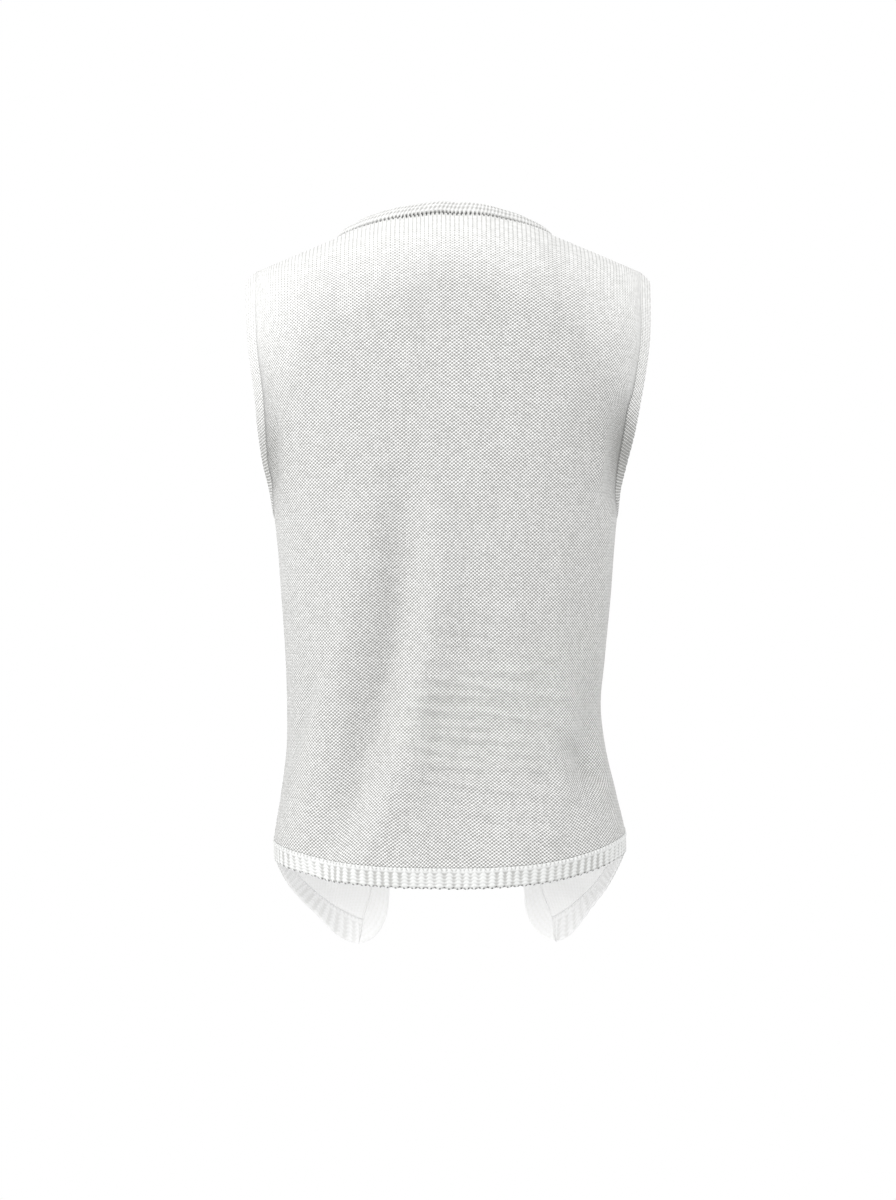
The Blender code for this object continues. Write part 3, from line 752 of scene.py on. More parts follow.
# %% [markdown]
# ## The fronts
#
# Each front is a narrower panel that ends low in a point. The two aren't the same: the right point
# swings a little further out. Their insides are seen under the back hem, so the inner face gets the
# smooth knit side of the fabric.

# %% Knit the two fronts
FRONT_COLUMNS = 76
words = {1: "left", -1: "right"}

for side, word in words.items():
    grid, normal = laid(front_grid(side, FRONT_COLUMNS, LOW_ROWS, ARMHOLE_ROWS), "front", LOW_ROWS)
    across = np.broadcast_to(counted(grid, 1, WALE)[LOW_ROWS], grid.shape[:2])
    up = counted(grid, 0, COURSE, LOW_ROWS)
    pull_and_shade = pulled((up[-1] - up) * COURSE, np.abs(grid[-1, :, 0]) / SHOULDER_END)
    cloth = shell(word + "_front_cloth", grid, grid - normal * PANEL_WALL, across, up, None, pull_and_shade)
    pieces[word + "_front"] = cloth

# %% [markdown]
# ## The bands
#
# Every edge is finished with a narrow band that is knitted on its own and linked on. A band is a strip
# from the panel's edge to its own free edge. It swells a little in the middle and closes round at the
# free edge, and a relief function adds the ribs or stitches that the eye can see.

# %% Helpers for lines of points
def run_along(line):
    """Length along a line of points, from 0 at its start."""
    return np.concatenate([[0], np.cumsum(np.linalg.norm(np.diff(line, axis=0), axis=-1))])


def read_at(line, length, at):
    """Points of a line where its length, or another count that goes with it, has the values of at."""
    return np.stack([np.interp(at, length, line[:, i]) for i in range(3)], axis=-1)


def evenly(line, step, *others):
    """The same line with evenly spaced points about a step apart, and others that go with it."""
    length = run_along(line)
    at = np.linspace(0, length[-1], max(2, round(length[-1] / step)) + 1)
    return [read_at(each, length, at) for each in (line, *others)]


def facing(ways, n):
    """The same directions, each turned to the side that its normal points to."""
    return ways * np.sign(np.sum(ways * n, axis=-1, keepdims=True))


# %% The strip that all bands are made from
ACROSS_ROWS = 15
ROWS_CROWDING = 1.25
EDGE_ROUND, EDGE_LEFT = 0.16, 0.995
SWELL = 1.6


def strip(seam, seam_normal, free, free_normal, thickness, rise, relief):
    """Outer and inner grids of a band, its length along in metres and its share across."""
    share = 1 - (1 - np.linspace(0, 1, ACROSS_ROWS)) ** ROWS_CROWDING
    toward = unit(free - seam)
    along = run_along(seam)
    round_end = np.clip((share - (1 - EDGE_ROUND)) / EDGE_ROUND, 0, 1)
    fullness = np.sqrt(1 - np.minimum(round_end, EDGE_LEFT) ** 2)
    swollen = np.sin(math.pi * np.minimum(share * SWELL, 0.5))
    half = (PANEL_WALL + (thickness - PANEL_WALL) * swollen) / 2 * fullness
    flush = PANEL_WALL / 2 * fullness
    lift = rise * 4 * share * (1 - share)
    out_relief, in_relief, longer = relief(along[:, None], share[None, :])
    part = share[None, :, None]
    n = unit(seam_normal[:, None] * (1 - part) + free_normal[:, None] * part)
    place = seam[:, None] + (free - seam)[:, None] * part
    place = place + toward[:, None] * longer[..., None]
    place = place + n * (lift - PANEL_WALL / 2)[None, :, None]
    out = place + n * (half[None, :] + out_relief * fullness[None, :])[..., None]
    under = place - n * (flush[None, :] + in_relief * fullness[None, :])[..., None]
    return out, under, along, share


# %% [markdown]
# ### Hem bands
#
# The hem is a one-by-one rib: knit and purl columns in turn, so it stands in round ridges with narrow
# furrows between, and its free edge is scalloped. Where it joins the panel there is a row of plump
# stitches. The ridges are modelled, since they show in the outline. An array of one rib would be too
# even, so the whole band is one strip with a relief that wanders a little along it.

# %% The ribs' relief
RIB = 0.0074
RIB_HEIGHT = 0.0005
RIDGE_FULLNESS, RIDGE_MEAN = 0.55, 0.6
RIB_WANDER = 0.0006
WANDER_SHORT, WANDER_LONG = 0.0061, 0.0147
PLUMP_ROW = 0.0036
PLUMP_HEIGHT = 0.0013
PLUMP_REACH, PLUMP_LEAN, PLUMP_LEAST = 0.42, 0.25, 0.35
SCALLOP = 0.0012


def wandering(along):
    """The length along a rib with its stitches a little uneven, as a hand-fed machine leaves them."""
    return along + RIB_WANDER * (np.sin(along / WANDER_SHORT) + np.sin(along / WANDER_LONG + 1))


def ridge(turns):
    """A round ridge once a turn, with a narrow furrow between."""
    return (0.5 + 0.5 * np.cos(math.tau * turns)) ** RIDGE_FULLNESS - RIDGE_MEAN


def rib_relief(width, pitch=RIB, height=RIB_HEIGHT, plump_height=PLUMP_HEIGHT, scallop=SCALLOP):
    """Ribs on both faces, a plump row of stitches next to the seam, and a scalloped edge."""

    def relief(along, share):
        along = wandering(along)
        ribs, between = ridge(along / pitch), ridge(along / pitch + 0.5)
        in_row = share * width / PLUMP_ROW
        near = np.exp(-(((in_row - 0.5) / PLUMP_REACH) ** 2))
        puffs = np.cos(math.pi * (2 * along / pitch + PLUMP_LEAN * np.clip(in_row, 0, 1))) ** 2
        plump = plump_height * near * (PLUMP_LEAST + (1 - PLUMP_LEAST) * puffs)
        begin = np.clip(in_row - 0.5, 0, 1) * np.clip(along / pitch, 0, 1)
        longer = scallop * ribs * np.clip(share - 0.5, 0, 1) * 2
        return height * ribs * begin + plump, height * between * begin, longer

    return relief


# %% A band's free edge and its shell
EDGE_DOT_FADE = 0.5


def hem_free(seam, n, face, drop):
    """The free edge of a hem band below a panel's lowest row."""
    level = seam[:, 2] - drop
    if face == "front":
        along = np.linspace(0, 1 / POINT_FILL_END, len(level))
        level = level - POINT_FILL * np.sin(math.pi * np.clip(along, 0, 1))
    x = seam[:, 0] * half_width(seam[:, 0], level) / half_width(seam[:, 0], seam[:, 2])
    y = back_form(x, level, x) if face == "back" else front_form(x, level)
    free = np.stack([x, y, level], axis=-1) + n * lie(face, x, level)[:, None]
    for end in (0, -1) if face == "back" else (-1,):
        free[end, 1] = seam[end, 1]
    return free


def band_shell(
    name, ends, relief, thickness, rise=0.0, looped=False, wales_before=None, dotted=False, near_seam=None
):
    """Makes one band from its seam and free edge. Its stitches are counted along it and across it, or
    go on in the panel's wales where the number of wales before its seam is given."""
    out, under, along, share = strip(*ends, thickness, rise, relief)
    width = float(np.mean(np.linalg.norm(ends[2] - ends[0], axis=-1)))
    over = np.broadcast_to(share[None, :], out.shape[:2]) * width
    across = np.broadcast_to(wandering(along)[:, None] / WALE, out.shape[:2])
    up = over / COURSE
    from_edge = pull_and_shade = None
    if dotted:
        from_edge = EDGE_DOT_FADE + (width - over) * MILLIMETRES
    if near_seam is not None:
        from_edge = near_seam[:, None] + over * MILLIMETRES
    if wales_before is not None:
        across = wales_before + over / WALE
        climbed = np.minimum(along, along[-1] - along) if looped else along
        up = np.broadcast_to(climbed[:, None] / COURSE, out.shape[:2])
        x, y, level = out[..., 0], out[..., 1], out[..., 2]
        # the shade painted under the arms goes on the band's back half
        pull_and_shade = pulled(crest(SHOULDER_END) - level, 1.0) - underarm_shade(x, level) * (y > 0)
    return shell(name, out, under, across, up, from_edge, pull_and_shade, looped)


# %% Knit the back's hem band
HEM_COLUMNS_IN, HEM_COLUMNS_OUT = 150, 120
FEW_ROWS = 12
POINTS_PER_RIB = 8
HEM_THICK = 0.0034

rough = back_grid(HEM_COLUMNS_IN, HEM_COLUMNS_OUT, LOW_ROWS, FEW_ROWS)
grid, normal = laid(rough, "back", LOW_ROWS)
seam, n = evenly(grid[0], RIB / POINTS_PER_RIB, normal[0])
ends = (seam, n, hem_free(seam, n, "back", HEM_BAND), n)
relief = rib_relief(HEM_BAND)
pieces["back_hem_band"] = band_shell("back_hem_rib", ends, relief, HEM_THICK, dotted=True)

# %% [markdown]
# ### Front bands and the points
#
# A smooth narrow band in the panels' own purl fabric follows each front's edge from the shoulder seam
# down to the point, where it turns round and meets the ribbed hem in a mitre. It shares that mitre's
# edge with the hem band. Ribs stand square to the edge that they are knitted on, so on a slanted hem
# they slant too. The points of its free edge are slid along it for that.


# %% The edges of a point
FOOT_EASE, LEAN_EASE = 8, 2
TIP_SPREAD, TIP_ROUND = 0.00002, 0.030


def front_band_free(seam, n, side):
    """The free edge of the front band, from the mitre at the point up to the ridge."""
    level = seam[:, 2]
    _, lean = opening_edge(side, level)
    wide = front_band_width(level)
    over = np.clip(1 - (level[-1] - level) / BAND_NARROWS, 0, 1)
    near = np.clip((level - level[0]) / POINT_FAN, 0, 1)
    ease = np.clip((level - level[0] - POINT_FAN) / POINT_FAN, 0, 1)
    leant = wide * np.sin(lean) * (1 - over**4) * np.minimum(1, LEAN_EASE * ease)
    up = level + leant + NECK_LIFT[side] * over**3
    x = np.abs(seam[:, 0]) - wide * np.cos(lean)
    turn = near * math.pi / 2
    foot = POINT_LEVEL[side] + POINT_RISE
    foot_x, _ = opening_edge(side, foot)
    bend = 2 / POINT_FULLNESS
    round_x = POINT_ACROSS[side] - (POINT_ACROSS[side] - foot_x) * np.sin(turn) ** bend
    round_up = POINT_LEVEL[side] + POINT_RISE * (1 - np.clip(np.cos(turn), 0, 1) ** bend)
    x = np.where(near < 1, round_x, foot_x + (x - foot_x) * np.minimum(1, FOOT_EASE * ease))
    up = np.where(near < 1, round_up, up + (foot - level[0] - POINT_FAN) * (1 - ease))
    free = np.stack([side * x, front_form(side * x, up), up], axis=-1)
    free = free + n * lie("front", side * x, up)[:, None]
    free[-1, 1] = seam[-1, 1]
    return free


def eased_to(tip, free, side):
    """A front hem's free edge, brought to the point's tip without folding over beside it."""
    from_tip = np.maximum(np.abs(free[:, 0]) - abs(tip[0]), TIP_SPREAD * np.arange(len(free)))
    near_tip = np.clip(1 - from_tip / TIP_ROUND, 0, 1) ** 2
    rest = free[:, 1:] + (tip[1:] - free[:, 1:]) * near_tip[:, None]
    return np.column_stack([side * (abs(tip[0]) + from_tip), rest])


def slid(line, reach):
    """The same line with its points slid along it, most in its middle, so that ribs lie square to it."""
    length = run_along(line)
    return read_at(line, length, length + reach * np.sin(math.pi * length / length[-1]))


def smooth_relief(along, share):
    """A band with no ribs is only a little plumper along its middle."""
    none = np.zeros(np.broadcast(along, share).shape)
    return none, none, none


# %% Knit the front bands and the fronts' hem bands
FINE_COLUMNS, FINE_LOW_ROWS, FINE_ARMHOLE_ROWS = 240, 340, 120
SMOOTH_THICK = 0.0034
SMOOTH_RISE = 0.0004
RIB_SLANT = 0.0220
POINT_SCALLOP = 0.0005

for side, word in words.items():
    rough = front_grid(side, FINE_COLUMNS, FINE_LOW_ROWS, FINE_ARMHOLE_ROWS)
    grid, normal = laid(rough, "front", FINE_LOW_ROWS)
    seam, n = grid[:, 0], normal[:, 0]
    edge = front_band_free(seam, n, side)
    ends = (seam, n, edge, n)
    name = word + "_front_edging"
    band = band_shell(name, ends, smooth_relief, SMOOTH_THICK, SMOOTH_RISE, wales_before=0.0)
    pieces[word + "_front_band"] = band
    free = hem_free(grid[0], normal[0], "front", HEM_BAND * HEM_LEAN)
    free = slid(eased_to(edge[0], free, side), RIB_SLANT)
    seam, n, free = evenly(grid[0], RIB / POINTS_PER_RIB, normal[0], free)
    relief = rib_relief(HEM_BAND * HEM_LEAN, scallop=POINT_SCALLOP)
    pieces[word + "_hem_band"] = band_shell(word + "_hem_rib", (seam, n, free, n), relief, HEM_THICK)

# %% [markdown]
# ### Armhole bands
#
# The armholes are finished with a narrow band in the panels' purl fabric, one loop for each. Its wales
# go on from the panel's, so the eye hardly sees where it starts. It shows as very low ribs round the
# edge, and under the arm its back half gets painted shade. The loop's last row meets its
# first, and the shell builder merges them.

# %% Where the armhole bands' edges run
ROLL_RISE = 0.0016


def joined_loop(back_edge, front_edge):
    """One loop, up along the back's edge and down along the front's."""
    return np.concatenate([back_edge, front_edge[-2:0:-1]])


def armhole_free(side, steps):
    """The armhole's free edge, back from side seam to shoulder and front from shoulder to side seam."""
    turn = np.linspace(0, math.pi, steps + 1)
    low = ARMHOLE_SEAM_LEVEL + ARMHOLE_BAND
    top = crest(SHOULDER_END) - ARMHOLE_BAND * ARMHOLE_TOP_SHARE
    level = low + (top - low) * (1 - np.cos(turn)) / 2
    x = side * (half_width(side, level) - ROLL_RISE * np.sin(turn))
    back = np.stack([x, ARMHOLE_BACK_FREE * np.sin(turn), level], axis=-1)
    front = np.stack([x, -ARMHOLE_FRONT_FREE * np.sin(turn), level], axis=-1)
    return joined_loop(back, front)


# %% Knit the armhole bands
ARMHOLE_THICK = 0.0030
ARMHOLE_RISE = 0.0005
ARMHOLE_RIB, ARMHOLE_RIB_HEIGHT = 0.0068, 0.0003
ARMHOLE_STEPS = 260
FEW_COLUMNS, FEW_LOW_ROWS = 4, 40
armhole_relief = rib_relief(ARMHOLE_BAND, ARMHOLE_RIB, ARMHOLE_RIB_HEIGHT, 0.0, 2 * ARMHOLE_RIB_HEIGHT)

rough = back_grid(FEW_COLUMNS, FEW_COLUMNS, FEW_LOW_ROWS, ARMHOLE_STEPS)
back, back_normal = laid(rough, "back", FEW_LOW_ROWS)
for side, word in words.items():
    rough = front_grid(side, 2 * FEW_COLUMNS, FEW_LOW_ROWS, ARMHOLE_STEPS)
    front, front_normal = laid(rough, "front", FEW_LOW_ROWS)
    column = -1 if side > 0 else 0
    seam = joined_loop(back[FEW_LOW_ROWS:, column], front[FEW_LOW_ROWS:, -1])
    n = joined_loop(back_normal[FEW_LOW_ROWS:, column], front_normal[FEW_LOW_ROWS:, -1])
    for i in (0, ARMHOLE_STEPS):
        seam[i, 1] = 0
        n[i] = without_y(n[i])
    free = armhole_free(side, ARMHOLE_STEPS)
    ahead = np.roll(free, -1, axis=0) - np.roll(free, 1, axis=0)
    ends = (seam, n, free, facing(unit(np.cross(ahead, free - seam)), n))
    name = word + "_armhole_edge"
    band = band_shell(name, ends, armhole_relief, ARMHOLE_THICK, ARMHOLE_RISE, True, edge_wale[side])
    pieces[word + "_armhole_band"] = band

# %% [markdown]
# ### Neck band
#
# The back of the neck is finished with a narrow rounded band, linked on, that shows three rows of
# slanted stitches, like a thin rope. They are large enough to see one by one, so they are modelled as
# a slanted wave along the strip.

# %% The neck band's relief
NECK_STITCH = 0.0036
NECK_CORDS = 3
CORD_HEIGHT = 0.0006
CORD_FULLNESS = 0.6
SLANT = 0.55


def rope_relief(along, share):
    """Three rows of slanted stitches."""
    along = wandering(along)
    cord = np.abs(np.sin(math.pi * NECK_CORDS * share)) ** CORD_FULLNESS
    slant = np.cos(math.tau * (along / NECK_STITCH + SLANT * NECK_CORDS * share))
    lift = CORD_HEIGHT * (cord - 0.5 + 0.5 * slant * cord)
    return lift, lift, np.zeros_like(lift)


# %% Knit the neck band
NECK_THICK = 0.0038
NECK_FINE, NECK_LOW_ROWS, NECK_ARMHOLE_ROWS = 200, 30, 90
NECK_DOT_FADE = 0.4

rough = back_grid(NECK_FINE, FEW_COLUMNS, NECK_LOW_ROWS, NECK_ARMHOLE_ROWS, crowded=True)
grid, normal = laid(rough, "back", NECK_LOW_ROWS)
neck = slice(FEW_COLUMNS, FEW_COLUMNS + 2 * NECK_FINE + 1)
seam, n = grid[-1, neck], normal[-1, neck]
round_share = seam[:, 0] / neck_half(seam[:, 0])
centred = np.sqrt(np.clip(1 - round_share**2, 0, 1))
end_lift = np.where(round_share >= 0, NECK_LIFT[1], NECK_LIFT[-1])
step = np.stack(
    [
        -NECK_BAND_REACH * NECK_BAND * round_share,
        -NECK_BAND_LEAN * NECK_BAND * centred,
        end_lift + (NECK_BAND * NECK_BAND_STAND - end_lift) * centred,
    ],
    axis=-1,
)
turned = facing(unit(np.cross(np.gradient(seam + step, axis=0), step)), n)
for i in (0, -1):
    turned[i] = without_y(turned[i])
ends = (seam, n, seam + step, turned)
near_seam = NECK_DOT_FADE + holes_fade(seam[:, 0])
band = band_shell("neck_rope", ends, rope_relief, NECK_THICK, ROLL_RISE, near_seam=near_seam)
pieces["neck_band"] = band

# %% [markdown]
# ## The yarn and its knitted faces
#
# The yarn is soft-spun white cotton, matt and all but neutral, with short fibres that catch light along
# edges. One yarn makes five finishes here: the purl side, the knit side, the rib, the rib's inside and
# the linked neck band. They differ only in how their loops lie, and so in how much shade there is
# between them. Each is a pattern of stitch heights, and one function turns that into colour and bump.

# %% Helpers for materials
def linear(hex_colour):
    """sRGB hex to the linear colour that shaders use."""
    value = [int(hex_colour[i : i + 2], 16) / 255 for i in (1, 3, 5)]
    return tuple(c / 12.92 if c <= 0.04045 else ((c + 0.055) / 1.055) ** 2.4 for c in value) + (1.0,)


def add(tree, kind, inputs=None, **settings):
    """Adds one node, with its settings by name and its inputs as values or as other nodes' outputs."""
    node = tree.nodes.new("ShaderNode" + kind)
    for name, value in settings.items():
        setattr(node, name, value)
    for socket, value in (inputs or {}).items():
        if isinstance(value, bpy.types.NodeSocket):
            tree.links.new(value, node.inputs[socket])
        else:
            node.inputs[socket].default_value = value
    return node


def wave(tree, value, turns=1.0):
    """A cosine wave that makes this many turns for each unit of a value."""
    turned = add(tree, "Math", {0: value, 1: math.tau * turns}, operation="MULTIPLY").outputs[0]
    return add(tree, "Math", {0: turned}, operation="COSINE").outputs[0]


# %% How the yarn takes light
YARN_WHITE = "#F9F9F8"
YARN_ROUGHNESS = 0.92
YARN_SHEEN = 0.18
YARN_SHEEN_ROUGHNESS = 0.45
YARN_SPECULAR = 0.25
STITCH_UNEVEN = 0.18
PIT_LEVEL, LOOP_LEVEL = -0.45, 0.45
CLOUD_SIZE, CLOUD_STRENGTH = 1 / 45, 0.05
# real cotton fibres are finer than this 0.4 mm, and would be too fine to show
FIBRE_SIZE = 1 / 2600


def lit_stitches(tree, across, up, height, place):
    """How light the fabric is, from 0 in a pit to 1 on a loop. It varies a little from one stitch to
    the next, as spun yarn does, and drifts over the cloth in soft clouds about 22 mm across."""
    whole_x = add(tree, "Math", {0: across}, operation="ROUND").outputs[0]
    whole_y = add(tree, "Math", {0: up}, operation="ROUND").outputs[0]
    cell = add(tree, "CombineXYZ", {0: whole_x, 1: whole_y}).outputs[0]
    chance = add(tree, "TexWhiteNoise", {"Vector": cell}, noise_dimensions="2D").outputs["Value"]
    cloud = add(tree, "TexNoise", {"Vector": place, "Scale": 1 / CLOUD_SIZE, "Detail": 3.0}).outputs["Fac"]
    levels = {"Value": height, "From Min": PIT_LEVEL, "From Max": LOOP_LEVEL}
    lit = add(tree, "MapRange", levels, interpolation_type="SMOOTHSTEP").outputs["Result"]
    for source, strength in ((chance, STITCH_UNEVEN), (cloud, CLOUD_STRENGTH)):
        drift = {0: source, 1: strength, 2: -strength / 2}
        drift = add(tree, "Math", drift, operation="MULTIPLY_ADD").outputs[0]
        lit = add(tree, "Math", {0: lit, 1: drift}, operation="ADD", use_clamp=source is cloud).outputs[0]
    return lit


# painted shade inside the little holes along linked seams and open edges
HOLE_SHADE = "#454544"
HOLE_FULL, HOLE_GONE = 0.7, 2.2
HOLE_FROM, HOLE_TO = -0.2, 0.6


def seam_hole_shade(tree, across):
    """How much painted shade each point gets in a little hole: one to each wale, along linked seams and
    open edges.
    """
    seam = add(tree, "Attribute", attribute_name="from_seam").outputs["Fac"]
    fade = {"Value": seam, "From Min": HOLE_FULL, "From Max": HOLE_GONE, "To Min": 1.0, "To Max": 0.0}
    near = add(tree, "MapRange", fade).outputs["Result"]
    beat = {"Value": wave(tree, across), "From Min": HOLE_FROM, "From Max": HOLE_TO}
    hole = add(tree, "MapRange", beat).outputs["Result"]
    return add(tree, "Math", {0: hole, 1: near}, operation="MULTIPLY").outputs[0]


# %% One function for every knitted finish
def knitted(name, pattern, depth, fuzz, shade, white=YARN_WHITE):
    """Sets up one knitted finish: pattern gives the stitches' height from the counts across and up."""
    material = bpy.data.materials.new(name)
    material.use_nodes = True
    tree = material.node_tree
    tree.nodes.clear()
    stitches = add(tree, "UVMap", uv_map="stitches").outputs["UV"]
    counts = add(tree, "SeparateXYZ", {0: stitches})
    across, up = counts.outputs["X"], counts.outputs["Y"]
    place = add(tree, "TexCoord").outputs["Object"]
    height = pattern(tree, across, up)
    lit = lit_stitches(tree, across, up, height, place)
    tone = add(tree, "Mix", {0: lit, 6: linear(shade), 7: linear(white)}, data_type="RGBA").outputs[2]
    # the little holes along seams and edges get painted shade
    dark = {0: seam_hole_shade(tree, across), 6: tone, 7: linear(HOLE_SHADE)}
    tone = add(tree, "Mix", dark, data_type="RGBA").outputs[2]
    fibre = add(tree, "TexNoise", {"Vector": place, "Scale": 1 / FIBRE_SIZE, "Detail": 2.0}).outputs["Fac"]
    rise = add(tree, "Math", {0: fibre, 1: fuzz, 2: height}, operation="MULTIPLY_ADD").outputs[0]
    bump = add(tree, "Bump", {"Height": rise, "Distance": depth, "Strength": 1.0}).outputs["Normal"]
    yarn = {
        "Base Color": tone,
        "Normal": bump,
        "Roughness": YARN_ROUGHNESS,
        "Sheen Weight": YARN_SHEEN,
        "Sheen Roughness": YARN_SHEEN_ROUGHNESS,
        "Specular IOR Level": YARN_SPECULAR,
    }
    shader = add(tree, "BsdfPrincipled", yarn)
    add(tree, "OutputMaterial", {"Surface": shader.outputs[0]})
    return material


# %% [markdown]
# ### Purl side
#
# On the purl side every course shows as a row of small arcs: the heads of one row of loops arch up, and
# the loops between them hang down, half a wale along and half a course up. Together they make a fine
# checkerboard of bumps and pits. The height is the product of two cosine waves, bent a little by the
# first so that the bumps are arcs. Where the cloth hangs stretched it blends into one wave across,
# which leaves thin upright lines between the wales. Under the arms all of it sinks and darkens: painted
# shade.

# %% Make the purl-side material
PURL_ARC = -0.025
PURL_DEPTH = 0.00055
PURL_SHADE = "#9F9F9C"
PURL_FUZZ = 0.15
GUTTER_SHARPNESS, GUTTER_DEPTH, GUTTER_TOP = 6.0, -0.27, 0.15
# how far the painted shade under the arms sinks and darkens the pits
UNDERARM_SHADE_DEPTH = 0.55


def purl_pattern(tree, across, up):
    """Arcs and pits in a checkerboard, or upright lines where the knit is pulled."""
    column = wave(tree, across)
    bent = add(tree, "Math", {0: column, 1: PURL_ARC, 2: up}, operation="MULTIPLY_ADD").outputs[0]
    arcs = add(tree, "Math", {0: column, 1: wave(tree, bent)}, operation="MULTIPLY").outputs[0]
    half = add(tree, "Math", {0: column, 1: -0.5, 2: 0.5}, operation="MULTIPLY_ADD").outputs[0]
    gutter = add(tree, "Math", {0: half, 1: GUTTER_SHARPNESS}, operation="POWER").outputs[0]
    line = {0: gutter, 1: GUTTER_DEPTH, 2: GUTTER_TOP}
    line = add(tree, "Math", line, operation="MULTIPLY_ADD").outputs[0]
    pull_and_shade = add(tree, "Attribute", attribute_name="pull_and_shade").outputs["Fac"]
    mixed = add(tree, "Mix", {0: pull_and_shade, 2: arcs, 3: line}, data_type="FLOAT").outputs[0]
    # below 0 the attribute holds the painted shade under the arms
    crowded = add(tree, "Math", {0: pull_and_shade, 1: 0.0}, operation="MINIMUM").outputs[0]
    sunk = {0: crowded, 1: UNDERARM_SHADE_DEPTH, 2: mixed}
    return add(tree, "Math", sunk, operation="MULTIPLY_ADD").outputs[0]


# cotton knit with its purl side out: matt and bumpy, and grey in the pits where light seldom reaches
purl_side = knitted("cotton_knit_purl_side", purl_pattern, PURL_DEPTH, PURL_FUZZ, PURL_SHADE)

# %% [markdown]
# ### Knit side
#
# The inside of the vest is the knit side: each wale is a column of small Vs. It is smoother than the
# purl side, and from a little way off only a soft grain is left of it.

# %% Make the knit-side material
KNIT_DEPTH = 0.00006
KNIT_FUZZ = 0.1
KNIT_SHADE, KNIT_WHITE = "#F7F7F6", "#FBFBFB"
KNIT_SLANT = 0.55
KNIT_GUTTER = 1.2
INSIDE_FUZZ = 0.1


def knit_pattern(tree, across, up):
    """Columns of Vs, with a gutter between each column and the next."""
    arm = add(tree, "Math", {0: wave(tree, across, 0.5)}, operation="ABSOLUTE").outputs[0]
    slant = add(tree, "Math", {0: arm, 1: KNIT_SLANT, 2: up}, operation="MULTIPLY_ADD").outputs[0]
    gutter = {0: arm, 1: KNIT_GUTTER, 2: -KNIT_GUTTER / 2}
    gutter = add(tree, "Math", gutter, operation="MULTIPLY_ADD").outputs[0]
    loops = {0: wave(tree, slant), 1: 0.5, 2: gutter}
    return add(tree, "Math", loops, operation="MULTIPLY_ADD").outputs[0]


# the same cotton knit from inside: flat and bright, as its loops leave no pits
knit_side = knitted(
    "cotton_knit_knit_side", knit_pattern, KNIT_DEPTH, KNIT_FUZZ, KNIT_SHADE, KNIT_WHITE
)

# %% [markdown]
# ### Rib and linked bands
#
# The hem's ribs and the neck band's rows are already modelled, so their materials add only the painted
# shade between them, the small cross ticks of each course, and the yarn's own fibre. A rib's furrows open
# and close a little along the hem, in patches about 33 mm long. Inside the fronts' hem bands the rib is
# painted lighter, furrows and all: painted light where it hangs in shade.

# %% Make the rib materials
RIB_DEPTH = 0.00025
FURROW_SHARPNESS, FURROW_DEPTH = 1.6, -0.62
PATCH_SIZE = 1 / 30
PATCH_CLOSED, PATCH_OPEN = 0.55, 1.25
PATCH_FROM, PATCH_TO = 0.35, 0.65
RIB_STARTS, RIB_STARTED = 0.7, 1.5
TICK_ARC, TICK_HEIGHT, TICK_TOP = 0.30, 0.20, 0.30
PUFF_HEIGHT = 0.34
BAND_FUZZ = 0.2
RIB_SHADE, RIB_WHITE = "#B3B3B1", "#E2E3E2"
# the inside rib is painted lighter than the outside one: painted light on the shaded inside
PAINTED_LIGHT_RIB_SHADE, PAINTED_LIGHT_RIB_WHITE = "#E8E8E7", "#F7F7F7"


def furrows(tree, side, begun):
    """The painted shade in the furrows between ribs, from the wave across them and how far the ribs have
    begun.
    """
    half = add(tree, "Math", {0: side, 1: -0.5, 2: 0.5}, operation="MULTIPLY_ADD").outputs[0]
    furrow = add(tree, "Math", {0: half, 1: FURROW_SHARPNESS}, operation="POWER").outputs[0]
    place = add(tree, "TexCoord").outputs["Object"]
    patch = add(tree, "TexNoise", {"Vector": place, "Scale": 1 / PATCH_SIZE, "Detail": 1.0}).outputs["Fac"]
    opening = {"From Min": PATCH_FROM, "From Max": PATCH_TO, "To Min": PATCH_CLOSED, "To Max": PATCH_OPEN}
    opening = add(tree, "MapRange", {"Value": patch, **opening}).outputs["Result"]
    for factor in (opening, begun):
        furrow = add(tree, "Math", {0: furrow, 1: factor}, operation="MULTIPLY").outputs[0]
    return furrow


def rib_pattern(tree, across, up):
    """Ribs with cross ticks, and a row of plump stitches where they begin."""
    side = wave(tree, across, WALE / RIB)
    start = {"Value": up, "From Min": RIB_STARTS, "From Max": RIB_STARTED}
    begun = add(tree, "MapRange", start).outputs["Result"]
    bent = add(tree, "Math", {0: side, 1: TICK_ARC, 2: up}, operation="MULTIPLY_ADD").outputs[0]
    ticks = {0: wave(tree, bent), 1: TICK_HEIGHT, 2: TICK_TOP}
    ticks = add(tree, "Math", ticks, operation="MULTIPLY_ADD").outputs[0]
    ribs = {0: furrows(tree, side, begun), 1: FURROW_DEPTH, 2: ticks}
    ribs = add(tree, "Math", ribs, operation="MULTIPLY_ADD").outputs[0]
    first = {0: begun, 1: -PUFF_HEIGHT, 2: PUFF_HEIGHT}
    first = add(tree, "Math", first, operation="MULTIPLY_ADD").outputs[0]
    puffs = {0: wave(tree, across, 2 * WALE / RIB), 1: first, 2: ribs}
    return add(tree, "Math", puffs, operation="MULTIPLY_ADD").outputs[0]


# cotton one-by-one rib: bright round ridges with soft grey painted shade in the furrows
rib = knitted("cotton_rib_one_by_one", rib_pattern, RIB_DEPTH, BAND_FUZZ, RIB_SHADE, RIB_WHITE)
# the same rib from inside the fronts, painted lighter, furrows and all: painted light where it hangs in
# shade
painted_light_rib_inside = knitted(
    "cotton_rib_inside_painted_lighter", rib_pattern, RIB_DEPTH, INSIDE_FUZZ, PAINTED_LIGHT_RIB_SHADE, PAINTED_LIGHT_RIB_WHITE
)

# %% Make the neck band's material
DASH_HEIGHT, DASH_TOP = 0.22, 0.10
ROW_DEPTH = -0.16
ROPE_SHADE, ROPE_WHITE = "#A9A9A7", "#E9E9E8"


